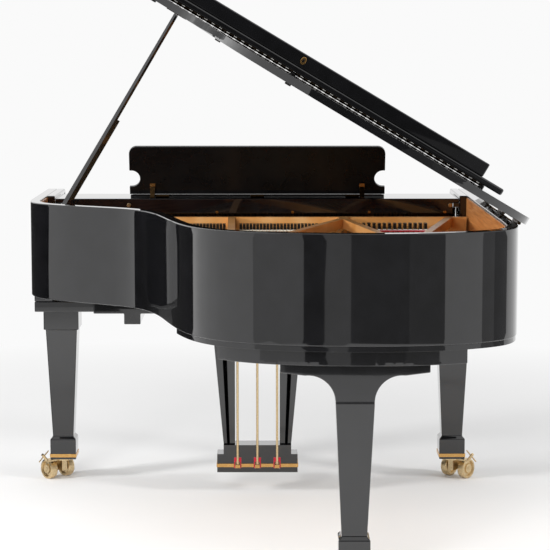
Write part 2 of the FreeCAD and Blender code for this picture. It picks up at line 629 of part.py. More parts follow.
def music_desk():
    """Upright panel in front of its axis, with rounded top corners and a round notch in each end."""
    half, tall, thick = value("desk_half"), value("desk_height"), value("desk_thick")
    low, radius = value("desk_lift"), value("notch_radius")
    panel = Part.makeBox(2*half, thick, tall - low, FreeCAD.Vector(-half, -thick, low))
    top = [e for e in panel.Edges if e.BoundBox.ZMin > tall - low and e.BoundBox.YLength > thick/2]
    panel = panel.makeFillet(value("desk_corner"), top)
    for side in (-1, 1):
        centre = FreeCAD.Vector(side*(half - value("notch_set")), -2*thick, value("notch_centre"))
        panel = panel.cut(Part.makeCylinder(radius, 4*thick, centre, FreeCAD.Vector(0, 1, 0)))
        mouth = Part.makeBox(2*radius, 4*thick, 2*radius,
                             FreeCAD.Vector(centre.x + min(0, side)*2*radius, centre.y,
                                            centre.z - radius))
        panel = panel.cut(mouth)
    shaped("music_desk", [leaned(panel)])


def desk_struts():
    """Brass rests that stand on the tray's back edge and hold the panel up."""
    lean = math.radians(value("desk_tilt"))
    rise, gap, thick = value("strut_height"), value("strut_gap"), value("strut_thick")
    back = FreeCAD.Vector(0, math.cos(lean), -math.sin(lean))
    up = FreeCAD.Vector(0, math.sin(lean), math.cos(lean))
    head = FreeCAD.Vector(0, value("desk_y"), value(DESK_AXIS_Z)) + up*rise + back*(gap + thick)
    foot = FreeCAD.Vector(0, value("tray_back") - thick, value(f"{TRAY_TOP} + strut_eye") + gap)
    along = (head - foot).normalize()
    aside = FreeCAD.Vector(0, -along.z, along.y)*(thick/2)
    pieces = []
    wide, across = value("strut_width"), FreeCAD.Vector(1, 0, 0)
    for side in (-1, 1):
        start = FreeCAD.Vector(side*value("strut_x") - wide/2, 0, 0)
        corners = (foot - aside, foot + aside, head + aside, head - aside, foot - aside)
        bar = Part.Face(Part.makePolygon([start + p for p in corners])).extrude(across*wide)
        eye = Part.makeCylinder(value("strut_eye"), wide, start + foot, across)
        pieces.append(bar.fuse(eye).removeSplitter())
    shaped("desk_struts", pieces)


def desk():
    music_tray()
    tray_fittings()
    music_desk()
    desk_struts()


desk()


# Strings and what holds them: pinblock, iron plate, soundboard, bridges, strings and pins.
PLATE_INSET = f"({LINER} + plate_margin)"
CAPO_FRONT = "(field_back - capo_depth)"
STRING_BOTTOM = "(string_height - string_radius)"
# Front end of each plate strut on the capo bar, across the half width, and its place along the flange.
STRUT_SHARES = ((.80, .955), (.115, .432), (-.413, .444), (-.372, .159), (-.866, .208))
BASS_NOTES, NOTES = 20, 88
# Notes' front ends across the capo bar and far ends along the hitch line, first note to last.
BASS_SHARES = (-.80, -.345, .13, .33)
TENOR_SHARES = (-.30, .80, .385, .965)


def rim_band(inset, width, start, end, low, high):
    """A curved strip between two places along an inset outline."""
    steps = 2*CURVE_STEPS
    line = [curve_point(value(inset), start + (end - start)*step/steps) for step in range(steps + 1)]
    sides = []
    for sign in (-.5, .5):
        moved = []
        for step, point in enumerate(line):
            along = (line[min(step + 1, steps)] - line[max(step - 1, 0)]).normalize()
            moved.append(point + FreeCAD.Vector(along.y, -along.x, 0)*value(width)*sign)
        curve = Part.BSplineCurve()
        curve.interpolate(moved[::4])
        sides.append(curve.toShape())
    caps = [Part.LineSegment(sides[0].Vertexes[k].Point, sides[1].Vertexes[k].Point).toShape()
            for k in (0, 1)]
    face = Part.Face(Part.Wire(Part.__sortEdges__(sides + caps)))
    face.translate(FreeCAD.Vector(0, 0, value(low)))
    return face.extrude(FreeCAD.Vector(0, 0, value(f"({high}) - ({low})")))


def strut_ends():
    half, middle = value(HALF), value(f"{PLATE_INSET} + plate_flange/2")
    for front, share in STRUT_SHARES:
        yield FreeCAD.Vector(front*half, value(CAPO_FRONT), 0), curve_point(middle, share)


def iron_plate():
    """Cast frame: flange round the rim, pin field, raised capo bar and struts over the strings."""
    crown, under = value("plate_crown"), value("string_height + strut_clear")
    flange = rim_ring(PLATE_INSET, f"{PLATE_INSET} + plate_flange", PLATE_BOTTOM, PLATE_TOP, CAPO_FRONT)
    half = value(f"{HALF} - {PLATE_INSET}")
    field_half = value(f"{ARM_INSIDE} - plate_margin")
    capo = Part.makeBox(2*half, value("capo_depth"), crown - value(PLATE_BOTTOM),
                        FreeCAD.Vector(-half, value(CAPO_FRONT), value(PLATE_BOTTOM)))
    field = Part.makeBox(2*field_half, value(f"{CAPO_FRONT} - field_front + capo_depth/2"),
                         value("field_thick"),
                         FreeCAD.Vector(-field_half, value("field_front"),
                                        value(f"{FIELD_TOP} - field_thick")))
    pieces = [capo, field]
    for start, end in strut_ends():
        along = (end - start).normalize()
        aside = FreeCAD.Vector(-along.y, along.x, 0)*value("strut_bar/2")
        run = Part.makePolygon([start + aside, end + aside, end - aside, start - aside, start + aside])
        bar = Part.Face(run).extrude(FreeCAD.Vector(0, 0, crown - under))
        bar.translate(FreeCAD.Vector(0, 0, under))
        pieces.append(bar)
        post = Part.makeCylinder(value("strut_bar/2"), crown - value(PLATE_BOTTOM),
                                 end + FreeCAD.Vector(0, 0, value(PLATE_BOTTOM)))
        pieces.append(post)
    shaped("iron_plate", [flange.fuse(pieces).removeSplitter()])


def pinblock():
    """Laminated maple block under the pin field, let into the arms."""
    top = f"({FIELD_TOP} - field_thick)"
    group("pinblock", [box(f"-({ARM_INSIDE})", ARM_INSIDE, "field_front", f"{CAPO_FRONT} - pinblock_gap",
                           f"{top} - pinblock_depth", top)])


BOLT_SHARES = tuple(step/13 for step in range(14))


def plate_bolts():
    """Spacers that carry the plate above the soundboard, and the bolt heads over them."""
    pieces = []
    for share in BOLT_SHARES:
        point = curve_point(value(f"{PLATE_INSET} + bolt_radius*2"), share)
        for low, high in ((BOARD_TOP, PLATE_BOTTOM), (PLATE_TOP, f"{PLATE_TOP} + bolt_head")):
            foot = FreeCAD.Vector(point.x, point.y, value(low))
            pieces.append(Part.makeCylinder(value("bolt_radius"), value(f"({high}) - ({low})"), foot))
    shaped("plate_bolts", pieces)


def soundboard():
    shaped("soundboard", [rim_panel("rim_wall + string_gap", "inner_rim_top", BOARD_TOP, BELLY)])
    span, ribs = value("case_length"), []
    room = rim_panel("rim_wall + inner_rim_wall + string_gap", "inner_rim_top - rib_height",
                     "inner_rim_top", f"{BELLY} + beam_width + rib_width")
    for share in RIB_SHARES:
        middle = FreeCAD.Vector(0, share*span, value("inner_rim_top - rib_height"))
        bar = Part.makeBox(2*span, value("rib_width"), value("rib_height"),
                           FreeCAD.Vector(-span, -value("rib_width/2"), 0))
        bar.rotate(FreeCAD.Vector(), FreeCAD.Vector(0, 0, 1), RIB_TURN)
        bar.translate(middle)
        ribs += bar.common(room).Solids
    shaped("soundboard_ribs", ribs)


RIB_SHARES = (.42, .50, .58, .66, .74, .82)
RIB_TURN = -22


def note_strings():
    """Each note's radius and its ends at the capo bar and at its hitch pin."""
    half = value(f"{HALF} - {PLATE_INSET}")
    for note in range(NOTES):
        bass = note < BASS_NOTES
        first, last, near, far = BASS_SHARES if bass else TENOR_SHARES
        step = note/(BASS_NOTES - 1) if bass else (note - BASS_NOTES)/(NOTES - BASS_NOTES - 1)
        radius = value("bass_radius" if bass else "string_radius")
        level = value(STRING_BOTTOM) + radius
        start = FreeCAD.Vector((first + (last - first)*step)*half, value("field_back + string_gap"),
                               level)
        hitch = curve_point(value("hitch_inset"), near + (far - near)*step)
        yield note, radius, start, FreeCAD.Vector(hitch.x, hitch.y, level)


def strings():
    wires, pins = [], []
    field, rows = value(f"{CAPO_FRONT} - field_front"), 3
    for note, radius, start, end in note_strings():
        wires.append(Part.makeCylinder(radius, (end - start).Length, start, end - start))
        hitch = FreeCAD.Vector(end.x, end.y,
                               value(PLATE_TOP)) + (end - start).normalize()*value("pin_radius + string_gap")
        pins.append(Part.makeCylinder(value("pin_radius"),
                                      value(f"string_height + pin_radius - {PLATE_TOP}"), hitch))
        row = (note % rows + 1)/(rows + 1)
        limit = value(f"{ARM_INSIDE} - plate_margin*2")
        post = FreeCAD.Vector(max(-limit, min(limit, start.x)), value("field_front") + field*row,
                              value(FIELD_TOP))
        pins.append(Part.makeCylinder(value("pin_radius"), value("pin_height"), post))
    shaped("strings", wires)
    shaped("string_pins", pins)


def bridges():
    """Treble and bass bridges glued on the soundboard, just under the strings."""
    shaped("bridges", [rim_band("bridge_inset", "bridge_width", start, end, BOARD_TOP,
                                f"{STRING_BOTTOM} - string_gap/4")
                       for start, end in BRIDGE_SHARES])


BRIDGE_SHARES = ((.17, .345), (.40, .93))


BRAID_SHARES = (-.743, -.541)


def string_felt():
    """Red cloth on the flange under the strings' tails, and a strip over the bass strings by the dampers."""
    under = rim_band("hitch_inset + string_felt_width/2", "string_felt_width/2", .14, .33, PLATE_TOP,
                     f"{PLATE_TOP} + string_felt_height")
    near, far = (value(HALF)*share for share in BRAID_SHARES)
    foot = FreeCAD.Vector(near, value("damper_y + damper_length + braid_lead"),
                          value(f"{STRING_BOTTOM} + bass_radius*2 + braid_gap"))
    over = Part.makeBox(far - near, value("braid_width"), value("braid_height"), foot)
    shaped("string_felt", [under, over])


def strung_back():
    pinblock()
    iron_plate()
    plate_bolts()
    soundboard()
    strings()
    bridges()
    string_felt()


strung_back()


# Action: dampers on the strings and hammers under them.
DAMPED_NOTES = 68


def across_at(start, end, y):
    """Where a line between two points crosses a distance from the front."""
    return start.x + (end.x - start.x)*(y - start.y)/(end.y - start.y)


def dampers():
    """Felted heads on wires, lifted together by the bar under them; none where a strut is in the way."""
    wide, long, tall = value("damper_width"), value("damper_length"), value("damper_height")
    near, wire, size = value("damper_y"), value("damper_wire"), value("damper_bar_size")
    bottom = value("string_height - damper_bar_drop")
    clear = value("strut_bar/2 + damper_width")
    pieces, places = [], []
    for note, radius, start, end in note_strings():
        x = across_at(start, end, near + long/2)
        spans = [across_at(a, b, y) for a, b in strut_ends() for y in (near, near + long)]
        if note >= DAMPED_NOTES or any(abs(s - x) < clear for s in spans):
            continue
        floor = start.z + radius + value("damper_seat")
        head = Part.makeBox(wide, long, tall, FreeCAD.Vector(x - wide/2, near, floor))
        side = across_at(start, end, near + wire) + wide/2
        stem = Part.makeCylinder(wire, floor + tall - bottom, FreeCAD.Vector(side, near + wire, bottom))
        pieces.append(head.fuse(stem).removeSplitter())
        places.append(side)
    corner = FreeCAD.Vector(min(places) - size, near + wire - size/2, bottom - size)
    rail = Part.makeBox(max(places) - min(places) + 2*size, size, size, corner)
    shaped("dampers", pieces + [rail])


def hammers():
    """Felt heads on shanks that hinge on the hammer rail, drawn at the string and then dropped to rest."""
    wide, shank, reach = value("hammer_width"), value("hammer_shank"), value("hammer_reach")
    pivot = FreeCAD.Vector(0, value("hammer_pivot_y"), value("hammer_pivot_z"))
    root = value("hammer_rail_size/2 + hammer_slack")
    pieces = []
    for note, radius, start, end in note_strings():
        x = across_at(start, end, pivot.y + reach)
        arm = Part.makeBox(shank, reach - root, shank,
                           pivot + FreeCAD.Vector(x - shank/2, root, -shank/2))
        head = Part.makeBox(wide, wide*2, value("hammer_head"),
                            pivot + FreeCAD.Vector(x - wide/2, reach - wide*2, 0))
        hammer = arm.fuse(head).removeSplitter()
        hammer.rotate(pivot, FreeCAD.Vector(-1, 0, 0), value("hammer_drop"))
        pieces.append(hammer)
    shaped("hammers", pieces)


dampers()
hammers()


# Lid, in its own frame: x across the piano from the hinge axis and z up from it, turned up by lid_angle.
LID_FRONT = "(arm_length + flap_gap)"
LID_TOP = "(lid_rise + lid_thick)"
FLAP_LOW = f"({LID_TOP} + flap_stack)"
FLAP_HIGH = f"({FLAP_LOW} + lid_thick)"
FLAP_END = f"({LID_FRONT} + arm_length + flap_front)"
FLAP_AXIS_Y = f"({LID_FRONT} - flap_gap/2)"
FLAP_AXIS_Z = f"({LID_TOP} + flap_stack/2)"
LID_BASS = "(lid_axis_out - lid_overhang)"
LID_TREBLE = "(case_width + lid_axis_out + lid_overhang)"
LID_MIDDLE = "(case_width/2 + lid_axis_out)"
LID_HINGE_SHARES = (.30, .53, .74)
LID_BUMPER_SHARES = (.985, .827, .628, .41)
FLAP_BUMPER_SHARES = (.035, .5, .965)


def main_lid():
    panel = rim_panel("-lid_overhang", "lid_rise", LID_TOP, LID_FRONT)
    panel.translate(FreeCAD.Vector(value(LID_MIDDLE), 0, 0))
    shaped("main_lid", [panel], "lid")


def front_flap():
    """The lid's front part, folded back on rubber buttons, with its front apron standing up."""
    group("front_flap", [box(LID_BASS, LID_TREBLE, LID_FRONT, FLAP_END, FLAP_LOW, FLAP_HIGH)], "lid")
    lip_half = f"({ARM_INSIDE} - lip_end_gap)"
    group("flap_lip", [box(f"{LID_MIDDLE} - {lip_half}", f"{LID_MIDDLE} + {lip_half}",
                           f"{FLAP_END} - lip_thick", FLAP_END,
                           FLAP_HIGH, f"{FLAP_HIGH} + lip_height")], "lid")
    oval = Part.Ellipse(FreeCAD.Vector(), value("escutcheon_long"), value("escutcheon_wide")).toShape()
    plate = Part.Face(Part.Wire([oval])).extrude(FreeCAD.Vector(0, 0, value("escutcheon_thick")))
    plate.rotate(FreeCAD.Vector(), FreeCAD.Vector(0, 0, 1), 90)
    plate.rotate(FreeCAD.Vector(), FreeCAD.Vector(1, 0, 0), -90)
    plate.translate(FreeCAD.Vector(value(LID_MIDDLE), value(FLAP_END),
                                   value(f"{FLAP_HIGH} + lip_height/2")))
    shaped("lock_escutcheon", [plate], "lid")


def flap_hinge():
    """Continuous hinge along the flap: a row of knuckles on the main lid's front edge."""
    first, last = value(f"{LID_BASS} + lid_overhang"), value(f"{LID_TREBLE} - lid_overhang")
    pitch = value("bead_pitch")
    count = int((last - first)/pitch)
    pieces = []
    for step in range(count):
        foot = FreeCAD.Vector(first + pitch*step, value(FLAP_AXIS_Y), value(FLAP_AXIS_Z))
        pieces.append(Part.makeCylinder(value("bead_radius"), pitch - value("bead_gap"), foot,
                                        FreeCAD.Vector(1, 0, 0)))
    shaped("flap_hinge", pieces, "lid")


def lid_hinges():
    """Three hinges on the spine: a leaf and barrel on the rim, and a leaf with end knuckles on the lid."""
    rim_side, lid_side = [], []
    for share in LID_HINGE_SHARES:
        start = f"({share}*case_length)"
        barrel = f"({start} + hinge_knuckle)"
        length = "(hinge_length - hinge_knuckle*2)"
        rim_side.append(joined(rod("hinge_radius", length, LID_X, barrel, "rim_top", "y"),
                               box(f"-{HALF} - hinge_leaf", f"-{HALF}", barrel, f"{barrel} + {length}",
                                   "rim_top - hinge_width", "rim_top")))
        leaf = box("0", "hinge_width", start, f"{start} + hinge_length", "lid_rise - hinge_leaf",
                   "lid_rise")
        knuckle = "hinge_knuckle - hinge_slack"
        knuckles = [rod("hinge_radius", knuckle, "0", start, "0", "y"),
                    rod("hinge_radius", knuckle, "0", f"{start} + hinge_length - ({knuckle})", "0", "y")]
        lid_side.append(less(joined(leaf, *knuckles),
                             rod("hinge_radius + hinge_slack", f"{length} + hinge_slack*2", "0",
                                                          f"{barrel} - hinge_slack", "0", "y")))
    group("spine_hinges", rim_side)
    cup = box(f"{PROP_U} - prop_cup_size/2", f"{PROP_U} + prop_cup_size/2", "prop_y - prop_cup_size/2",
              "prop_y + prop_cup_size/2", "lid_rise - prop_cup_thick", "lid_rise")
    group("lid_fittings", lid_side + [cup], "lid")


def lid_bumpers():
    """Rubber buttons under the lid's edge and between the lid and the folded flap."""
    under, tall = [], value("lid_rise - bumper_gap")
    for share in LID_BUMPER_SHARES:
        point = curve_point(value("rim_wall/2"), share)
        foot = FreeCAD.Vector(point.x + value(LID_MIDDLE), point.y, value("bumper_gap"))
        under.append(Part.makeCylinder(value("bumper_radius"), tall, foot))
    for share in FLAP_BUMPER_SHARES:
        foot = FreeCAD.Vector(share*value(LID_TREBLE), value(f"{FLAP_END} - lip_thick*2"), value(LID_TOP))
        under.append(Part.makeCylinder(value("bumper_radius"), value("flap_stack - bumper_gap"), foot))
    shaped("lid_bumpers", under, "lid")


# Prop: its foot in the case, its direction square to the raised lid, and the way it folds along the bentside.
PROP_U = f"((prop_x - {LID_X})*cos(lid_angle) + (prop_z - {LID_Z})*sin(lid_angle))"
PROP_DOWN = f"((prop_x - {LID_X})*sin(lid_angle) - (prop_z - {LID_Z})*cos(lid_angle))"
PROP_LENGTH = f"({PROP_DOWN} + lid_rise - prop_cup_thick - prop_gap)"
PROP_FOLD = FreeCAD.Vector(-.74, .67, 0)


def prop_frame():
    """The prop's foot, its own direction, its hinge axis and the direction across it."""
    lean = math.radians(value("lid_angle"))
    along = FreeCAD.Vector(-math.sin(lean), 0, math.cos(lean))
    axis = along.cross(PROP_FOLD).normalize()
    return FreeCAD.Vector(value("prop_x"), value("prop_y"),
                          value("prop_z")), along, axis, axis.cross(along)


def prop_bar(start, length, wide, tip, near, far):
    """A tapered bar beside the prop's line, between two distances along the hinge axis."""
    foot, along, axis, across = prop_frame()
    corners = [(-wide/2, start), (wide/2, start), (tip/2, start + length), (-tip/2, start + length),
               (-wide/2, start)]
    run = Part.makePolygon([foot + across*a + along*b + axis*near for a, b in corners])
    return Part.Face(run).extrude(axis*(far - near))


def lid_prop():
    """Long stick on a pin, with the half stick on a pin beside it and the bracket on the rim."""
    foot, along, axis, across = prop_frame()
    thick, wide = value("prop_thick"), value("prop_width")
    stick = prop_bar(0, value(PROP_LENGTH), wide, value("prop_tip"), -thick/2, thick/2)
    eye = Part.makeCylinder(wide/2, thick, foot - axis*(thick/2), axis)
    bore = Part.makeCylinder(value("prop_pin_radius + prop_pin_fit"), 2*thick, foot - axis*thick, axis)
    side, half_wide, half_thick = thick/2 + value("half_gap"), value("half_width"), value("half_thick")
    pivot = foot + along*value("half_start + half_width/2")
    half_pin = Part.makeCylinder(value("half_pin_radius"), side + half_thick, pivot, axis)
    shaped("lid_prop", [stick.fuse([eye, half_pin]).cut(bore).removeSplitter()])
    half = prop_bar(value("half_start"), value("half_length"), half_wide, half_wide, side, side + half_thick)
    half_bore = Part.makeCylinder(value("half_pin_radius + prop_pin_fit"), side + 2*half_thick, pivot, axis)
    shaped("half_stick", [half.cut(half_bore)])
    reach = value("case_width - prop_x")
    post = Part.makeCylinder(wide/2, reach, foot - axis*side, axis*-1)
    room = rim_panel(LINER, RIM_BOTTOM, "rim_top - lining_drop", "arm_length")
    pin = Part.makeCylinder(value("prop_pin_radius"), thick + side, foot - axis*(side + thick/2), axis)
    shaped("prop_bracket", [post.common(room).fuse(pin).removeSplitter()])


def lid():
    main_lid()
    front_flap()
    flap_hinge()
    lid_hinges()
    lid_bumpers()
    lid_prop()


lid()


# Legs: two under the keybed and one under the tail, each on a foot with a brass band and a twin-wheel caster.
FOOT_TOP = "(leg_end - foot_flare)"
FOOT_BOTTOM = f"({FOOT_TOP} - foot_height - band_height - foot_base)"
# Each leg's place, the turn of its caster and the side its brake points to.
LEG_PLACES = {"treble": ("leg_x", "leg_y", "front_turn", 1),
              "bass": ("-leg_x", "leg_y", "-front_turn", -1),
              "tail": ("tail_leg_x", "tail_leg_y", "tail_turn", 1)}


def leg(name, x, y):
    wide, slim, foot = ((*around(x, w), *around(y, w)) for w in ("leg_wide", "leg_slim", "foot_width"))
    pieces = [taper(*wide, "leg_joint", *slim, "leg_end"), taper(*slim, "leg_end", *foot, FOOT_TOP),
              box(*foot, FOOT_BOTTOM, FOOT_TOP)]
    if name == "tail":
        pieces.append(tail_wings())
    else:
        pieces.append(box(*around(x, "leg_block_width"), *around(y, "leg_block_width"), "leg_joint",
                          "keybed_bottom"))
    group(f"leg_{name}", [joined(*pieces)])


WING_SHARES = ((.55, .90), (.19, .71))


def tail_wings():
    """Winged bracket over the tail leg, its lower edges running out into arcs at the leg."""
    top, low, half = value("inner_rim_bottom"), value("leg_joint"), value("wing_half")
    end, neck = value("inner_rim_bottom - wing_end"), value("leg_wide/2")
    start, bend = (FreeCAD.Vector(neck + (half - neck)*over, 0, low + (end - low)*up)
                   for over, up in WING_SHARES)
    corner, root = FreeCAD.Vector(half, 0, end), FreeCAD.Vector(neck, 0, low)

    def other(p):
        return FreeCAD.Vector(-p.x, p.y, p.z)

    high = FreeCAD.Vector(half, 0, top)
    edges = [Part.LineSegment(other(high), high), Part.LineSegment(high, corner),
             Part.LineSegment(corner, start), Part.Arc(start, bend, root),
             Part.LineSegment(root, other(root)), Part.Arc(other(root), other(bend), other(start)),
             Part.LineSegment(other(start), other(corner)), Part.LineSegment(other(corner), other(high))]
    face = Part.Face(Part.Wire([e.toShape() for e in edges]))
    wings = doc.addObject("Part::Feature", "Wings")
    wings.Shape = face.extrude(FreeCAD.Vector(0, value("wing_thick"), 0))
    bind(wings, "Placement.Base.x", "tail_leg_x")
    bind(wings, "Placement.Base.y", "tail_leg_y - wing_thick/2")
    return wings


def leg_bands():
    """Brass bands round the three feet."""
    low = f"({FOOT_BOTTOM} + foot_base)"
    for x, y, turn, side in LEG_PLACES.values():
        wide = "foot_width + band_proud*2"
        outer = box(*around(x, wide), *around(y, wide), low, f"{low} + band_height")
        foot = (*around(x, "foot_width"), *around(y, "foot_width"))
        yield less(outer, box(*foot, f"{low} - band_height", f"{low} + band_height*2"))


def brake(side, low, thick):
    """The brake's arm under the foot, and its screw with a cross bar that rises outside the foot."""
    reach, wide, lean = value("brake_reach"), value("brake_width"), math.radians(value("brake_lean"))
    arm = Part.makeBox(reach, wide, thick, FreeCAD.Vector(min(0, side)*reach, -wide/2, low))
    up = FreeCAD.Vector(side*math.sin(lean), 0, math.cos(lean))
    over = FreeCAD.Vector(side*math.cos(lean), 0, -math.sin(lean))
    foot = FreeCAD.Vector(side*(reach - value("brake_stem")), 0, low + thick/2)
    stem = Part.makeCylinder(value("brake_stem"), value("brake_length"), foot, up)
    span = value("brake_span")
    middle = foot + up*value("brake_length - brake_stem*2")
    return arm, stem, Part.makeCylinder(value("brake_bar"), span, middle - over*(span/2), over)


def caster(name, x, y, turn, side):
    """Twin-wheel caster: a fork under the foot, trailing two wheels on one axle, with its brake."""
    radius, wheel, gap = value("wheel_radius"), value("wheel_width"), value("wheel_gap")
    trail, fit, axle = value("caster_trail"), value("wheel_fit"), value("axle_radius")
    thick, top = value("caster_plate"), value(f"{FOOT_BOTTOM} - caster_gap")
    plate = Part.makeCylinder(value("plate_radius"), thick, FreeCAD.Vector(0, 0, top - thick))
    fork, deep = value("fork_width"), value("hub_radius") + trail
    block = Part.makeBox(fork, deep, top - radius + axle, FreeCAD.Vector(-fork/2, -deep, radius - axle))
    across = FreeCAD.Vector(1, 0, 0)
    hub = Part.makeCylinder(value("hub_radius"), gap - 2*fit, FreeCAD.Vector(fit - gap/2, -trail, radius),
                            across)
    shaft = Part.makeCylinder(axle, gap + 2*wheel, FreeCAD.Vector(-gap/2 - wheel, -trail, radius), across)
    frame = plate.fuse([block, hub, shaft, *brake(side, top - thick, thick)]).removeSplitter()
    wheels = []
    for start in (-gap/2 - wheel, gap/2):
        tyre = Part.makeCylinder(radius, wheel, FreeCAD.Vector(start, -trail, radius), across)
        tyre = tyre.makeChamfer(wheel/8, [e for e in tyre.Edges if isinstance(e.Curve, Part.Circle)])
        hole = Part.makeCylinder(axle + value("axle_fit"), wheel, FreeCAD.Vector(start, -trail, radius),
                                 across)
        wheels.append(tyre.cut(hole))
    for label, shapes in ((f"caster_{name}", [frame]), (f"wheels_{name}", wheels)):
        for shape in shapes:
            shape.rotate(FreeCAD.Vector(), FreeCAD.Vector(0, 0, 1), value(turn))
            shape.translate(FreeCAD.Vector(value(x), value(y), 0))
        shaped(label, shapes)


def legs():
    for name, (x, y, turn, side) in LEG_PLACES.items():
        leg(name, x, y)
        caster(name, x, y, turn, side)


# Lyre: two posts from the keybed, the pedal box, three pedals and the rods they push up.
BOX_TOP = "(lyre_bottom + lyre_box_height)"
LEDGE_TOP = f"({BOX_TOP} + lyre_ledge)"
PEDAL_Z = "(lyre_bottom + pedal_level)"
PEDALS = {"left": "-pedal_pitch", "middle": "0", "right": "pedal_pitch"}
LYRE_DEEP = around("lyre_y", "lyre_depth")
ROD_Y = f"({LYRE_DEEP[1]} + bush_thick + rod_radius + rod_back)"
# The groove down the back of each post, across it at the top and at the bottom.
GROOVE_SHARES = ((.40, .62), (.45, .70))
PEDAL_SLOT = ("pedal_shank + pedal_side_gap*2", "pedal_thick + pedal_slot*2")


def post_groove(side):
    """The V-shaped groove down the back of the post on one side."""
    back = value("lyre_y + post_depth/2")
    rims = []
    for height, size, shares in zip(("keybed_bottom", LEDGE_TOP), ("post_wide", "post_slim"), GROOVE_SHARES):
        near, far = (side*value(f"post_inset + {size}*{share}") for share in shares)
        corners = ((near, back), ((near + far)/2, back - value("post_groove")), (far, back), (near, back))
        rims.append(Part.makePolygon([FreeCAD.Vector(x, y, value(height)) for x, y in corners]))
    tool = doc.addObject("Part::Feature", "Groove")
    tool.Shape = Part.makeLoft(rims, True, True)
    return tool


def lyre():
    """Two grooved, tapered posts on a pedal box with three slots and the pedals' pins."""
    ledge = "(post_inset + post_slim)"
    body = joined(box("-lyre_half", "lyre_half", *LYRE_DEEP, "lyre_bottom", BOX_TOP),
                  box(f"-{ledge}", ledge, *LYRE_DEEP, BOX_TOP, LEDGE_TOP))
    cuts, pins = [], []
    wide, tall = PEDAL_SLOT
    for x in PEDALS.values():
        cuts.append(box(*around(x, wide), *around("lyre_y", "lyre_depth*2"), *around(PEDAL_Z, tall)))
        pins.append(rod("pedal_pivot_radius", wide, around(x, wide)[0], "lyre_y", PEDAL_Z, "x"))
    depth = around("lyre_y", "post_depth")
    slims = both_sides("post_inset", ledge)
    wides = both_sides("post_inset", "post_inset + post_wide")
    posts = [less(taper(*top, *depth, "keybed_bottom", *foot, *depth, LEDGE_TOP), post_groove(side))
             for side, top, foot in zip((-1, 1), wides, slims)]
    group("lyre", [joined(less(body, *cuts), *pins), *posts])


def lyre_trim():
    """Brass strip round the pedal box, open at each pedal."""
    outer = box("-lyre_half - trim_thick", "lyre_half + trim_thick",
                *around("lyre_y", "lyre_depth + trim_thick*2"),
                *around(PEDAL_Z, "trim_height"))
    core = box("-lyre_half", "lyre_half", *LYRE_DEEP, "lyre_bottom", BOX_TOP)
    doors = [box(*around(x, "bush_width"), *around("lyre_y", "lyre_depth*2"), "lyre_bottom", BOX_TOP)
             for x in PEDALS.values()]
    return less(outer, core, *doors)


def pedal_felts():
    """Red felt collars round the pedals where they leave the box's back."""
    pieces = []
    back = LYRE_DEEP[1]
    for x in PEDALS.values():
        low = f"({PEDAL_Z} - pedal_thick/2 - bush_thick)"
        collar = box(*around(x, "bush_width"), back, f"{back} + bush_thick", low, f"{low} + bush_height")
        wide, tall = PEDAL_SLOT
        pieces.append(less(collar, box(*around(x, wide), *around("lyre_y", "lyre_depth*2"),
                                       *around(PEDAL_Z, tall))))
    group("pedal_felts", pieces)


def pedals():
    """Brass levers on pins in the pedal box, with a rounded pad in front and the rod's seat behind."""
    level = around(PEDAL_Z, "pedal_thick")
    pad, neck = "(lyre_y - pedal_front)", "(lyre_y - lyre_depth/2 - pedal_width)"
    for name, x in PEDALS.items():
        shank = box(*around(x, "pedal_shank"), neck, "lyre_y + pedal_back", *level)
        toe = box(*around(x, "pedal_width"), pad, neck, *level)
        tip = rod("pedal_width/2", "pedal_thick", x, pad, level[0])
        hole = rod("pedal_pivot_radius + pedal_fit", "pedal_shank", around(x, "pedal_shank")[0], "lyre_y",
                   PEDAL_Z, "x")
        group(f"pedal_{name}", [less(joined(shank, toe, tip), hole)])
        foot = f"({PEDAL_Z} + pedal_thick/2 + rod_gap)"
        length = f"keybed_bottom - rod_head_room - {foot}"
        group(f"pedal_rod_{name}", [rod("rod_radius", length, x, ROD_Y, foot)])


def foot_of_piano():
    legs()
    lyre()
    group("brass_bands", [*leg_bands(), lyre_trim()])
    pedal_felts()
    pedals()


foot_of_piano()


def write_parts():
    """Recomputes, checks every object and writes one file for each node."""
    doc.recompute()
    for item in doc.Objects:
        if "Invalid" in item.State or "Error" in item.State:
            raise RuntimeError(f"{item.Label} did not recompute: {item.State}")
    os.makedirs("parts", exist_ok=True)
    for item in nodes:
        if item.Shape.isNull() or not item.Shape.isValid() or not item.Shape.Solids:
            raise RuntimeError(f"{item.Label} has no valid solid")
        item.Shape.exportStep(f"parts/{item.Label}.step")
        print(item.Label, len(item.Shape.Solids), "solids", round(item.Shape.Volume))


write_parts()
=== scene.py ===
import json
import math
import bmesh
import bpy
from mathutils import Matrix, Vector


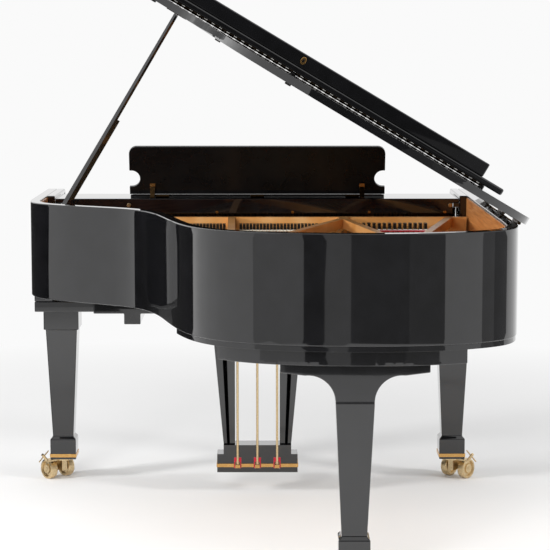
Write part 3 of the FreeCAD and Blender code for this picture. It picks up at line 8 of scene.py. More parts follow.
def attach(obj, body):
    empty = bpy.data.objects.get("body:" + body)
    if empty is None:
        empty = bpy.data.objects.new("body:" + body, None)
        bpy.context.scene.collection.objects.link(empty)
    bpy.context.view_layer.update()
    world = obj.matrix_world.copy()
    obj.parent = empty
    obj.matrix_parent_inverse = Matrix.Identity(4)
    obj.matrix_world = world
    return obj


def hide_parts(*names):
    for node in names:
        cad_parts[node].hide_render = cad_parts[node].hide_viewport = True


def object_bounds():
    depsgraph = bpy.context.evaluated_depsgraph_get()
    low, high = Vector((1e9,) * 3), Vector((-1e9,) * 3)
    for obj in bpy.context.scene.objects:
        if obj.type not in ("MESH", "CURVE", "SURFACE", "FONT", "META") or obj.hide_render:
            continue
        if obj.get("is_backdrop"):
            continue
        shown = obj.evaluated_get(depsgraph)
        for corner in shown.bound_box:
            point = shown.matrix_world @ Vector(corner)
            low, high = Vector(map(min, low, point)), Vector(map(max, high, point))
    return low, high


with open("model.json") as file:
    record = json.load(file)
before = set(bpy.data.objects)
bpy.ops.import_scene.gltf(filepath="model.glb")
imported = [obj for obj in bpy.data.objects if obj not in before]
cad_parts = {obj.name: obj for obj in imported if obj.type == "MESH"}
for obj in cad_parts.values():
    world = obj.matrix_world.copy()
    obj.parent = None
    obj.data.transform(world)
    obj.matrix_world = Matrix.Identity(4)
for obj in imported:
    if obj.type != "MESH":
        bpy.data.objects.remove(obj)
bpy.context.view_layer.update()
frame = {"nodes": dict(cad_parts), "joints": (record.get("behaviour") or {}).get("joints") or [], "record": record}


# The case is bent from laminated beech and covered in black polyester lacquer, rubbed out to a mirror.
# Every edge is eased by hand before the last coat, so each one catches a thin line of light.
def linear(colour):
    """A hex colour as it is seen, as linear light for a shader."""
    parts = [int(colour[i:i + 2], 16)/255 for i in (1, 3, 5)]
    return (*[c/12.92 if c <= .04045 else ((c + .055)/1.055)**2.4 for c in parts], 1)


def add(tree, kind, feeds=None, into=None, stops=(), **settings):
    """One node with its settings, fed by values or sockets, linked into a socket, with a ramp's hex stops."""
    made = tree.nodes.new(kind)
    for name, amount in settings.items():
        setattr(made, name, amount)
    for name, source in (feeds or {}).items():
        if isinstance(source, bpy.types.NodeSocket):
            tree.links.new(source, made.inputs[name])
        else:
            made.inputs[name].default_value = source
    for at, (share, colour) in enumerate(stops):
        ramp = made.color_ramp.elements
        stop = ramp[at] if at < len(ramp) else ramp.new(share)
        stop.position, stop.color = share, linear(colour)
    if into:
        tree.links.new(made.outputs[0], into)
    return made


def new_finish(name, **sockets):
    """A material with fixed values set; gives it, its tree, its shader's sockets and the object's place."""
    finish = bpy.data.materials.new(name)
    finish.use_nodes = True
    tree = finish.node_tree
    shader = tree.nodes["Principled BSDF"]
    for socket, amount in sockets.items():
        shader.inputs[socket.replace("_", " ")].default_value = amount
    return finish, tree, shader.inputs, add(tree, "ShaderNodeTexCoord").outputs["Object"]


# Black polyester lacquer, buffed: a deep black under a hard clear coat, with the faint long ripple that
# buffing leaves, about 60 mm apart.
lacquer, tree, skin, here = new_finish("buffed_black_lacquer", IOR=1.52, Coat_Weight=.7, Coat_Roughness=.015)
ripple = add(tree, "ShaderNodeTexNoise", {"Vector": here, "Scale": 16, "Detail": 2}).outputs["Fac"]
add(tree, "ShaderNodeValToRGB", {"Fac": ripple}, skin["Base Color"], [(.3, "#050506"), (.7, "#0B0B0D")])
add(tree, "ShaderNodeMapRange", {"Value": ripple, "To Min": .03, "To Max": .06}, skin["Roughness"])
add(tree, "ShaderNodeBump", {"Height": ripple, "Distance": .00003, "Strength": 1}, skin["Normal"])


# Points closer than these are one point, in a new shape and in a mesh from the frame.
# Edges sharper than the crease stay sharp; those under the flat angle are dissolved and those over the round
# angle are eased.
WELD, FRAME_WELD = 2e-6, 1e-5
CREASE_ANGLE, FLAT_ANGLE, ROUND_ANGLE = math.radians(38), math.radians(.4), math.radians(28)
replaced = set()
rides_on = {node: body for body, nodes in frame["record"]["behaviour"]["bodies"].items() for node in nodes}
slot_of = {part["node"]: part["material_slot"] for part in frame["record"]["subparts"]}


def piece_of(shape, name, finish, body, slot, *nodes):
    """A finished piece from a shape being built: smooth, true over its flats, riding on a body."""
    bmesh.ops.remove_doubles(shape, verts=shape.verts, dist=WELD)
    mesh = bpy.data.meshes.new(name)
    shape.to_mesh(mesh)
    shape.free()
    mesh.polygons.foreach_set("use_smooth", [True]*len(mesh.polygons))
    mesh.set_sharp_from_angle(angle=CREASE_ANGLE)
    rough = bpy.data.objects.new(name + "_rough", mesh)
    bpy.context.scene.collection.objects.link(rough)
    rough.modifiers.new("flats", "WEIGHTED_NORMAL").keep_sharp = True
    settled(rough, name, finish, body, slot, *nodes)


def settled(rough, name, finish, body, slot, *nodes):
    """Turns an object and its modifiers into one plain piece, in place of the CAD nodes that are named."""
    depsgraph = bpy.context.evaluated_depsgraph_get()
    mesh = bpy.data.meshes.new_from_object(rough.evaluated_get(depsgraph), depsgraph=depsgraph)
    rough.modifiers.clear()
    bpy.data.objects.remove(rough)
    mesh.materials.clear()
    mesh.materials.append(finish)
    piece = bpy.data.objects.new(name, mesh)
    bpy.context.scene.collection.objects.link(piece)
    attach(piece, body)
    fresh = [node for node in nodes if node not in replaced]
    if fresh:
        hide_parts(*fresh)
        replaced.update(fresh)


def solids_of(node):
    """A node's mesh, and its separate solids as their points with their lowest and highest corners."""
    shape = bmesh.new()
    shape.from_mesh(frame["nodes"][node].data)
    bmesh.ops.remove_doubles(shape, verts=shape.verts, dist=FRAME_WELD)
    left, solids = set(shape.verts), []
    while left:
        edge, points = [left.pop()], []
        while edge:
            corner = edge.pop()
            points.append(corner)
            for other in (e.other_vert(corner) for e in corner.link_edges):
                if other in left:
                    left.remove(other)
                    edge.append(other)
        places = [p.co for p in points]
        solids.append((points, Vector(map(min, *places)), Vector(map(max, *places))))
    return shape, solids


def loose_boxes(node):
    """The lowest and highest corners of each separate solid of a node."""
    shape, solids = solids_of(node)
    boxes = [(low, high) for points, low, high in solids]
    shape.free()
    return boxes


def softened(finish, steps=3, named="dressed", only=None, **widths):
    """Copies of a node's solids, or only those whose size passes a test, with sharp edges rounded over."""
    for node, width in widths.items():
        shape, solids = solids_of(node)
        if only:
            others = [p for points, low, high in solids if not only(high - low) for p in points]
            bmesh.ops.delete(shape, geom=others, context="VERTS")
        bmesh.ops.dissolve_limit(shape, angle_limit=FLAT_ANGLE, verts=shape.verts, edges=shape.edges)
        corners = [e for e in shape.edges if len(e.link_faces) == 2 and e.calc_face_angle() > ROUND_ANGLE]
        bmesh.ops.bevel(shape, geom=corners, offset=width, segments=steps, profile=.5, affect="EDGES",
                        clamp_overlap=True)
        piece_of(shape, f"{node}_{named}", finish, rides_on[node], slot_of[node], node)


softened(lacquer, outer_rim=.003, inner_rim=.002, rim_bead=.006, arms=.004, keybed=.003, key_slip=.002,
         key_blocks=.003, nameboard=.0015, fallboard=.003)


# The inside of the rim is lined with a reddish veneer under satin varnish, its grain running round the case
# in streaks about 5 mm high and a hand's breadth long.
veneer, tree, skin, here = new_finish("satin_rim_veneer", IOR=1.48, Coat_Weight=.25, Coat_Roughness=.2)
along = add(tree, "ShaderNodeMapping", {"Vector": here, "Scale": (7, 7, 200)}).outputs["Vector"]
fibre = add(tree, "ShaderNodeTexNoise",
            {"Vector": along, "Scale": 1, "Detail": 8, "Roughness": .65}).outputs["Fac"]
add(tree, "ShaderNodeValToRGB", {"Fac": fibre}, skin["Base Color"],
    [(.3, "#8A5226"), (.5, "#BC7A42"), (.72, "#D29A60")])
add(tree, "ShaderNodeMapRange", {"Value": fibre, "To Min": .32, "To Max": .5}, skin["Roughness"])
add(tree, "ShaderNodeBump", {"Height": fibre, "Distance": .0001, "Strength": 1}, skin["Normal"])
softened(veneer, 2, rim_lining=.001)


# The braces, ribs, key frame and soundboard are straight-grained spruce, pale gold with darker winter lines.
# Those are about 2 mm apart in the wood and are drawn about 16 mm apart so that they show.
spruce, tree, skin, here = new_finish("varnished_spruce", IOR=1.48, Coat_Weight=.15, Coat_Roughness=.25)
GRAIN_TURN = math.radians(30)
turned = add(tree, "ShaderNodeMapping", {"Vector": here, "Rotation": (0, 0, GRAIN_TURN)}).outputs["Vector"]
years = add(tree, "ShaderNodeTexWave", {"Vector": turned, "Scale": 20, "Distortion": 1.2, "Detail": 2,
                                        "Detail Scale": 1.5}).outputs["Fac"]
add(tree, "ShaderNodeValToRGB", {"Fac": years}, skin["Base Color"], [(.15, "#C79A5C"), (.8, "#DDB87C")])
add(tree, "ShaderNodeMapRange", {"Value": years, "To Min": .38, "To Max": .5}, skin["Roughness"])
add(tree, "ShaderNodeBump", {"Height": years, "Distance": .00006, "Strength": 1}, skin["Normal"])
softened(spruce, 2, soundboard=.001, soundboard_ribs=.002, case_beams=.002, key_frame=.001)


# The plate is grey cast iron, sprayed with bronze powder in clear lacquer over the sand-cast skin,
# whose grit of about 2 mm still shows. Domed, slotted bolts hold it down.
bronze, tree, skin, here = new_finish("bronze_sprayed_casting", Metallic=.3, Coat_Weight=.25,
                                      Coat_Roughness=.2)
grit = add(tree, "ShaderNodeTexNoise", {"Vector": here, "Scale": 420, "Detail": 4}).outputs["Fac"]
cloud = add(tree, "ShaderNodeTexNoise", {"Vector": here, "Scale": 9, "Detail": 3}).outputs["Fac"]
add(tree, "ShaderNodeValToRGB", {"Fac": cloud}, skin["Base Color"],
    [(.3, "#CC8C4A"), (.55, "#DDA160"), (.8, "#EBBB80")])
add(tree, "ShaderNodeMapRange", {"Value": grit, "To Min": .28, "To Max": .42}, skin["Roughness"])
add(tree, "ShaderNodeBump", {"Height": grit, "Distance": .00012, "Strength": 1}, skin["Normal"])
softened(bronze, iron_plate=.004)

# Strings, pins and bolts are drawn and plated steel, with a fine grain of about 3 mm.
# They keep the shape that they have in the frame.
wire, tree, skin, here = new_finish("drawn_steel_wire", Metallic=1)
drawn = add(tree, "ShaderNodeTexNoise", {"Vector": here, "Scale": 300, "Detail": 2}).outputs["Fac"]
add(tree, "ShaderNodeValToRGB", {"Fac": drawn}, skin["Base Color"], [(.3, "#A9A6A0"), (.7, "#DAD7CF")])
add(tree, "ShaderNodeMapRange", {"Value": drawn, "To Min": .2, "To Max": .34}, skin["Roughness"])
add(tree, "ShaderNodeBump", {"Height": drawn, "Distance": .00002, "Strength": 1}, skin["Normal"])
for node in ("strings", "string_pins", "plate_bolts"):
    frame["nodes"][node].data.materials.clear()
    frame["nodes"][node].data.materials.append(wire)


def new_tree(name, **sizes):
    """A geometry tree with a point cloud and named sizes coming in; gives it and the sockets they come by."""
    tree = bpy.data.node_groups.new(name, "GeometryNodeTree")
    tree.interface.new_socket("Places", in_out="INPUT", socket_type="NodeSocketGeometry")
    for size, kind in sizes.items():
        tree.interface.new_socket(size, in_out="INPUT", socket_type=kind)
    tree.interface.new_socket("Finish", in_out="INPUT", socket_type="NodeSocketMaterial")
    tree.interface.new_socket("Result", in_out="OUTPUT", socket_type="NodeSocketGeometry")
    return tree, add(tree, "NodeGroupInput").outputs


def ended(tree, given, shape, turn):
    """Sets a shape out on the places, realises it and gives it its finish."""
    laid = add(tree, "GeometryNodeInstanceOnPoints",
               {"Points": given["Places"], "Instance": shape, "Rotation": turn})
    real = add(tree, "GeometryNodeRealizeInstances", {"Geometry": laid.outputs["Instances"]})
    done = add(tree, "GeometryNodeSetMaterial",
               {"Geometry": real.outputs["Geometry"], "Material": given["Finish"]})
    add(tree, "NodeGroupOutput", {"Result": done.outputs["Geometry"]})


def set_out(name, tree, places, finish, body, slot, nodes=(), facing=(0, 0, 1), **sizes):
    """One piece of a tree's shapes, set at places in the frame and turned so that their tops face a way."""
    mesh = bpy.data.meshes.new(name)
    mesh.from_pydata(places, [], [])
    way = mesh.attributes.new("facing", "FLOAT_VECTOR", "POINT")
    way.data.foreach_set("vector", facing*len(places))
    rough = bpy.data.objects.new(name + "_rough", mesh)
    bpy.context.scene.collection.objects.link(rough)
    modifier = rough.modifiers.new("set_out", "NODES")
    modifier.node_group = tree
    for item in tree.interface.items_tree:
        if item.in_out == "INPUT" and item.name in sizes:
            modifier[item.identifier] = sizes[item.name]
        elif item.in_out == "INPUT" and item.name == "Finish":
            modifier[item.identifier] = finish
    settled(rough, name, finish, body, slot, *nodes)


# A slotted screw: a flat ball with a saw cut across it, its lower half sunk in what it holds,
# each slot left where the screwdriver stopped.
SCREW_SEED, SAW_LONG = 7, 3
screws, given = new_tree("slotted_screws", Radius="NodeSocketFloat", Height="NodeSocketFloat",
                         Slot="NodeSocketFloat")
ball = add(screws, "GeometryNodeMeshUVSphere", {"Segments": 16, "Rings": 8, "Radius": 1})
squat = add(screws, "ShaderNodeCombineXYZ",
            {"X": given["Radius"], "Y": given["Radius"], "Z": given["Height"]})
head = add(screws, "GeometryNodeTransform",
           {"Geometry": ball.outputs["Mesh"], "Scale": squat.outputs["Vector"]})
across = add(screws, "ShaderNodeMath", {0: given["Radius"], 1: SAW_LONG}, operation="MULTIPLY")
saw = add(screws, "ShaderNodeCombineXYZ", {"X": across.outputs[0], "Y": given["Slot"], "Z": given["Height"]})
cutter = add(screws, "GeometryNodeMeshCube", {"Size": saw.outputs["Vector"]})
lift = add(screws, "ShaderNodeCombineXYZ", {"Z": given["Height"]})
cutter = add(screws, "GeometryNodeTransform",
             {"Geometry": cutter.outputs["Mesh"], "Translation": lift.outputs["Vector"]})
slotted = add(screws, "GeometryNodeMeshBoolean",
              {"Mesh 1": head.outputs["Geometry"], "Mesh 2": cutter.outputs["Geometry"]},
              operation="DIFFERENCE")
facing = add(screws, "GeometryNodeInputNamedAttribute", {"Name": "facing"}, data_type="FLOAT_VECTOR")
turn = add(screws, "FunctionNodeAlignRotationToVector", {"Vector": facing.outputs["Attribute"]}, axis="Z")
stop = add(screws, "FunctionNodeRandomValue",
           {"Min": (0, 0, 0), "Max": (0, 0, math.pi), "Seed": SCREW_SEED}, data_type="FLOAT_VECTOR")
turn = add(screws, "FunctionNodeRotateRotation",
           {"Rotation": turn.outputs["Rotation"], "Rotate By": stop.outputs[0]}, rotation_space="LOCAL")
ended(screws, given, slotted.outputs["Mesh"], turn.outputs["Rotation"])

LEVEL = .001
bolts = loose_boxes("plate_bolts")
plate_top = max(high.z for low, high in bolts)
crowns = [Vector(((low.x + high.x)/2, (low.y + high.y)/2, plate_top))
          for low, high in bolts if high.z > plate_top - LEVEL]
set_out("plate_bolt_crowns", screws, crowns, wire, "case", "steel_wire",
        Radius=.0085, Height=.0035, Slot=.0016)


# Bridges and pinblock are hard maple, planed and left pale, with flecks about 80 mm long.
# The bridges are glued to the soundboard and the pinblock is bolted to the plate.
maple, tree, skin, here = new_finish("planed_maple", IOR=1.48)
along = add(tree, "ShaderNodeMapping", {"Vector": here, "Scale": (180, 12, 180)}).outputs["Vector"]
fleck = add(tree, "ShaderNodeTexNoise", {"Vector": along, "Scale": 1, "Detail": 5}).outputs["Fac"]
add(tree, "ShaderNodeValToRGB", {"Fac": fleck}, skin["Base Color"], [(.3, "#B98E5E"), (.7, "#D8B78A")])
add(tree, "ShaderNodeMapRange", {"Value": fleck, "To Min": .45, "To Max": .6}, skin["Roughness"])
add(tree, "ShaderNodeBump", {"Height": fleck, "Distance": .00005, "Strength": 1}, skin["Normal"])
softened(maple, 2, bridges=.001, pinblock=.001)


# Red wool cloth, fulled so that its fibres stand up. It lies on the bass strings, behind the keys and round
# the pedals, glued down in strips.
felt, tree, skin, here = new_finish("red_wool_felt", Sheen_Weight=.4, Sheen_Roughness=.5)
wool = add(tree, "ShaderNodeTexNoise", {"Vector": here, "Scale": 700, "Detail": 5}).outputs["Fac"]
add(tree, "ShaderNodeValToRGB", {"Fac": wool}, skin["Base Color"], [(.3, "#8E1122"), (.7, "#C42038")])
add(tree, "ShaderNodeMapRange", {"Value": wool, "To Min": .85, "To Max": 1}, skin["Roughness"])
add(tree, "ShaderNodeBump", {"Height": wool, "Distance": .0004, "Strength": 1}, skin["Normal"])
softened(felt, 2, nameboard_felt=.001, string_felt=.001, pedal_felts=.001)


# Hammers: each has a maple shank hinged on the rail, a maple core glued to its end and a head of white wool
# pressed over the core to the shape of an egg. They hang a little below the strings.
white_felt, tree, skin, here = new_finish("pressed_white_felt", Sheen_Weight=.3, Sheen_Roughness=.5)
wool = add(tree, "ShaderNodeTexNoise", {"Vector": here, "Scale": 600, "Detail": 4}).outputs["Fac"]
add(tree, "ShaderNodeValToRGB", {"Fac": wool}, skin["Base Color"], [(.3, "#C9C2B2"), (.7, "#E2DCCD")])
add(tree, "ShaderNodeMapRange", {"Value": wool, "To Min": .85, "To Max": 1}, skin["Roughness"])
add(tree, "ShaderNodeBump", {"Height": wool, "Distance": .0003, "Strength": 1}, skin["Normal"])

blocks, given = new_tree("plain_blocks", Size="NodeSocketVector", Lean="NodeSocketVector")
block = add(blocks, "GeometryNodeMeshCube", {"Size": given["Size"]})
lean = add(blocks, "FunctionNodeEulerToRotation", {"Euler": given["Lean"]})
ended(blocks, given, block.outputs["Mesh"], lean.outputs["Rotation"])
eggs, given = new_tree("egg_heads", Size="NodeSocketVector", Lean="NodeSocketVector")
egg = add(eggs, "GeometryNodeMeshUVSphere", {"Segments": 12, "Rings": 8, "Radius": .5})
egg = add(eggs, "GeometryNodeTransform", {"Geometry": egg.outputs["Mesh"], "Scale": given["Size"]})
lean = add(eggs, "FunctionNodeEulerToRotation", {"Euler": given["Lean"]})
ended(eggs, given, egg.outputs["Geometry"], lean.outputs["Rotation"])

HAMMER_DROP, SHANK_FROM, SHANK_TO, SHANK_THICK = math.radians(17), .0113, .140, .006
HEAD_MIDDLE, HEAD_TALL, EGG_LIFT, EGG_SIZE = .131, .064, .62, (.009, .024, .76)
CORE_LIFT, CORE_SIZE = .018, (.008, .012, .030)
pivot = Vector(next(j for j in frame["joints"] if j["name"] == "hammer_swing")["pos_m"])
drop = Matrix.Rotation(-HAMMER_DROP, 3, "X")
across = [(low.x + high.x)/2 for low, high in loose_boxes("hammers")]
for name, middle, tree, size, finish, slot, nodes in (
        ("hammer_shanks", (0, (SHANK_FROM + SHANK_TO)/2, 0), blocks,
         (SHANK_THICK, SHANK_TO - SHANK_FROM, SHANK_THICK), maple, "maple", ("hammers",)),
        ("hammer_cores", (0, HEAD_MIDDLE, CORE_LIFT), blocks, CORE_SIZE, maple, "maple", ()),
        ("hammer_heads", (0, HEAD_MIDDLE, HEAD_TALL*EGG_LIFT), eggs,
         (*EGG_SIZE[:2], HEAD_TALL*EGG_SIZE[2]), white_felt, "red_felt", ())):
    spot = drop @ Vector(middle)
    places = [Vector((x, pivot.y + spot.y, pivot.z + spot.z)) for x in across]
    set_out(name, tree, places, finish, "hammer_set", slot, nodes, Size=size, Lean=(-HAMMER_DROP, 0, 0))


# Damper heads are wood blocks stained black, each with a skirt of white felt where it meets the strings.
# The stain is thin enough to show some grain.
stain, tree, skin, here = new_finish("black_stained_beech", IOR=1.48)
pores = add(tree, "ShaderNodeTexNoise", {"Vector": here, "Scale": 220, "Detail": 4}).outputs["Fac"]
add(tree, "ShaderNodeValToRGB", {"Fac": pores}, skin["Base Color"], [(.3, "#0C0C0C"), (.7, "#1C1B1A")])
add(tree, "ShaderNodeMapRange", {"Value": pores, "To Min": .3, "To Max": .45}, skin["Roughness"])
add(tree, "ShaderNodeBump", {"Height": pores, "Distance": .00008, "Strength": 1}, skin["Normal"])
softened(stain, 2, dampers=.0012)
HEAD_WIDE, HEAD_LONG, DAMPER_TALL, HEAD_SHARE = .009, .034, .024, .9
SKIRT, SKIRT_LIFT, SKIRT_PROUD = .005, .0002, .0008
skirts = [Vector((low.x + HEAD_WIDE/2, (low.y + high.y)/2, high.z - DAMPER_TALL + SKIRT/2 + SKIRT_LIFT))
          for low, high in loose_boxes("dampers") if high.y - low.y > HEAD_LONG*HEAD_SHARE]
set_out("damper_felts", blocks, skirts, white_felt, "damper_set", "damper_black",
        Size=(HEAD_WIDE + SKIRT_PROUD, HEAD_LONG + SKIRT_PROUD, SKIRT), Lean=(0, 0, 0))


# Keys: white tops of polished plastic with softly rounded edges, and sharps stained black like the dampers.
# They rest on the key frame in two rows.
ivory, tree, skin, here = new_finish("polished_white_keytop", IOR=1.5, Coat_Weight=.3, Coat_Roughness=.05)
pale = add(tree, "ShaderNodeTexNoise", {"Vector": here, "Scale": 40, "Detail": 2}).outputs["Fac"]
add(tree, "ShaderNodeValToRGB", {"Fac": pale}, skin["Base Color"], [(.3, "#EAE6D8"), (.7, "#F4F1E8")])
add(tree, "ShaderNodeMapRange", {"Value": pale, "To Min": .12, "To Max": .2}, skin["Roughness"])
add(tree, "ShaderNodeBump", {"Height": pale, "Distance": .00002, "Strength": 1}, skin["Normal"])
softened(ivory, 2, white_keys=.0012)
softened(stain, 2, black_keys=.0015)


# Music desk: a panel on a sliding tray, propped by brass rests and hinged on brass barrels.
# The tray runs on two lacquered rails.
softened(lacquer, music_tray=.002, tray_rails=.001)

# The desk panel is rubbed to a satin black, so that it does not dazzle the player.
satin, tree, skin, here = new_finish("satin_black_lacquer", IOR=1.45, Specular_IOR_Level=.3, Coat_Weight=.08,
                                     Coat_Roughness=.1)
ripple = add(tree, "ShaderNodeTexNoise", {"Vector": here, "Scale": 18, "Detail": 2}).outputs["Fac"]
add(tree, "ShaderNodeValToRGB", {"Fac": ripple}, skin["Base Color"], [(.3, "#050506"), (.7, "#0A0A0B")])
add(tree, "ShaderNodeMapRange", {"Value": ripple, "To Min": .24, "To Max": .32}, skin["Roughness"])
add(tree, "ShaderNodeBump", {"Height": ripple, "Distance": .00003, "Strength": 1}, skin["Normal"])
softened(satin, music_desk=.0015)

# A thin black bar on the tray fills the slit under the panel: painted shade, a dark piece put where the slit
# looks dark. It keeps inside the circle that the panel's foot swings on, so the desk folds past it.
BAR_WIDE, BAR_TALL, BAR_CLEAR, BAR_SHORT = .003, .003, .0002, .02
desk_low, desk_high = loose_boxes("music_desk")[0]
hinge_low, hinge_high = max(loose_boxes("tray_fittings"), key=lambda box: box[1].x - box[0].x)
foot = Vector(((desk_low.x + desk_high.x)/2, (hinge_low.y + hinge_high.y)/2,
               desk_low.z - BAR_CLEAR - BAR_TALL/2))
# The bar is painted shade for the slit, standing over the tray's lit top.
set_out("desk_foot_shade_bar", blocks, [foot], satin, rides_on["music_tray"], "black_lacquer",
        Size=(desk_high.x - desk_low.x - BAR_SHORT, BAR_WIDE, BAR_TALL), Lean=(0, 0, 0))

# Brass: drawn, buffed and lacquered, with the faint lines of the buff, about 1 mm apart.
# The lock's plate, the prop's bracket, the bands of the legs and the tray's screw heads are bright.
brass, tree, skin, here = new_finish("buffed_brass", Metallic=1)
lines = add(tree, "ShaderNodeMapping", {"Vector": here, "Scale": (90, 90, 900)}).outputs["Vector"]
buff = add(tree, "ShaderNodeTexNoise", {"Vector": lines, "Scale": 1, "Detail": 4}).outputs["Fac"]
add(tree, "ShaderNodeValToRGB", {"Fac": buff}, skin["Base Color"],
    [(.25, "#C08F50"), (.6, "#D9AC6A"), (.85, "#E8C48A")])
add(tree, "ShaderNodeMapRange", {"Value": buff, "To Min": .18, "To Max": .32}, skin["Roughness"])
add(tree, "ShaderNodeBump", {"Height": buff, "Distance": .00002, "Strength": 1}, skin["Normal"])
softened(brass, 2, lock_escutcheon=.001, prop_bracket=.0015, brass_bands=.0004)
HINGE_LONG, DOT_THIN = .03, .0045
softened(brass, 2, named="dots", only=lambda size: size.y < DOT_THIN, tray_fittings=.0006)

# Hinges and rests are brass too, coloured much darker than the trim so that they keep quiet against the black.
# The tray's barrels, the lid's hinges and the flap's knuckles are of this kind.
dark_brass, tree, skin, here = new_finish("dark_toned_brass", Metallic=1)
speckle = add(tree, "ShaderNodeTexNoise", {"Vector": here, "Scale": 240, "Detail": 4}).outputs["Fac"]
add(tree, "ShaderNodeValToRGB", {"Fac": speckle}, skin["Base Color"],
    [(.3, "#2A2016"), (.6, "#4A3822"), (.85, "#7A5E38")])
add(tree, "ShaderNodeMapRange", {"Value": speckle, "To Min": .3, "To Max": .45}, skin["Roughness"])
add(tree, "ShaderNodeBump", {"Height": speckle, "Distance": .00004, "Strength": 1}, skin["Normal"])
softened(dark_brass, 2, desk_struts=.0005, flap_hinge=.0008, spine_hinges=.0006, lid_fittings=.0006)
softened(dark_brass, 2, named="hinges", only=lambda size: size.x > HINGE_LONG, tray_fittings=.0006)

# A bright clip holds the head of each rest, and the lock in the lip has a keyhole in its plate, drawn as a
# black patch that is painted shade for the hole.
# The keyhole leans with the open lid.
CLIP_SIZE, CLIP_IN, CLIP_DOWN = (.018, .006, .014), .006, .007
KEYHOLE_SIZE, LID_LEAN = (.007, .0016, .015), math.radians(30.8)
clips = [Vector(((low.x + high.x)/2, low.y + CLIP_IN, high.z - CLIP_DOWN))
         for low, high in loose_boxes("desk_struts")]
set_out("desk_strut_clips", blocks, clips, brass, rides_on["desk_struts"], "polished_brass",
        Size=CLIP_SIZE, Lean=(0, 0, 0))
keyholes = [Vector(((low.x + high.x)/2, high.y, (low.z + high.z)/2))
            for low, high in loose_boxes("lock_escutcheon")]
# The keyhole is a black patch of painted shade on the plate, not a hole.
set_out("lock_keyhole_shade", eggs, keyholes, satin, rides_on["lock_escutcheon"], "polished_brass",
        Size=KEYHOLE_SIZE, Lean=(0, -LID_LEAN, 0))

# Three brass screws hold the leaf of each lid hinge to the spine.
# They stand in a row below its barrel.
SCREW_SHARES, SCREW_IN, SCREW_DOWN = (.2, .5, .8), .003, .026
leaves = [Vector((high.x - SCREW_IN, low.y + (high.y - low.y)*share, high.z - SCREW_DOWN))
          for low, high in loose_boxes("spine_hinges") for share in SCREW_SHARES]
set_out("spine_hinge_screws", screws, leaves, brass, "case", "polished_brass", facing=(-1, 0, 0),
        Radius=.0042, Height=.0014, Slot=.0009)


# Lid: a thick veneered panel lacquered on both faces, with a folding front flap and its lip.
# It is hinged on the spine and held up by the long stick of the prop.
softened(lacquer, 4, main_lid=.006, front_flap=.006, flap_lip=.004, lid_prop=.003, half_stick=.002)

# A steel pin runs through the knuckles of the flap's hinge from end to end.
# It is a little thinner than they are and shows between them.
PIN_RADIUS, PIN_SIDES = .0039, 24
knuckles = sorted(((low + high)/2 for low, high in loose_boxes("flap_hinge")), key=lambda middle: middle.x)
run = knuckles[-1] - knuckles[0]
lie = Matrix.Translation(knuckles[0] + run/2) @ run.to_track_quat("Z", "Y").to_matrix().to_4x4()
pin = bmesh.new()
bmesh.ops.create_cone(pin, cap_ends=True, segments=PIN_SIDES, radius1=PIN_RADIUS, radius2=PIN_RADIUS,
                      depth=run.length, matrix=lie)
piece_of(pin, "flap_hinge_pin", wire, rides_on["flap_hinge"], "steel_wire")

# Buttons of black moulded rubber keep the lid off the rim and the flap off the lid.
# Each is a plain turned button with a soft bloom.
rubber, tree, skin, here = new_finish("moulded_black_rubber", IOR=1.5)
bloom = add(tree, "ShaderNodeTexNoise", {"Vector": here, "Scale": 500, "Detail": 3}).outputs["Fac"]
add(tree, "ShaderNodeValToRGB", {"Fac": bloom}, skin["Base Color"], [(.3, "#141414"), (.7, "#222120")])
add(tree, "ShaderNodeMapRange", {"Value": bloom, "To Min": .55, "To Max": .75}, skin["Roughness"])
add(tree, "ShaderNodeBump", {"Height": bloom, "Distance": .0001, "Strength": 1}, skin["Normal"])
softened(rubber, lid_bumpers=.0015)


# Legs and lyre: solid wood lacquered like the case, screwed up under the keybed and the tail.
# The pedals are of the buffed brass.
softened(lacquer, leg_treble=.003, leg_bass=.003, leg_tail=.003, lyre=.002)
softened(brass, 4, pedal_left=.003, pedal_middle=.003, pedal_right=.003)

# Casters, pedal rods and the tray's knobs: cast or drawn brass, paler and less polished than the trim.
# Tumbling leaves a grain of about 4 mm.
cast, tree, skin, here = new_finish("tumbled_pale_brass", Metallic=1)
grain = add(tree, "ShaderNodeTexNoise", {"Vector": here, "Scale": 260, "Detail": 4}).outputs["Fac"]
add(tree, "ShaderNodeValToRGB", {"Fac": grain}, skin["Base Color"],
    [(.3, "#CDB286"), (.55, "#DFC79C"), (.8, "#EBDABA")])
add(tree, "ShaderNodeMapRange", {"Value": grain, "To Min": .28, "To Max": .42}, skin["Roughness"])
add(tree, "ShaderNodeBump", {"Height": grain, "Distance": .00008, "Strength": 1}, skin["Normal"])
softened(cast, 2, named="knobs", only=lambda size: DOT_THIN < size.y and size.x < HINGE_LONG,
         tray_fittings=.001)
softened(cast, 2, pedal_rod_left=.001, pedal_rod_middle=.001, pedal_rod_right=.001, caster_treble=.0012,
         caster_bass=.0012, caster_tail=.0012)

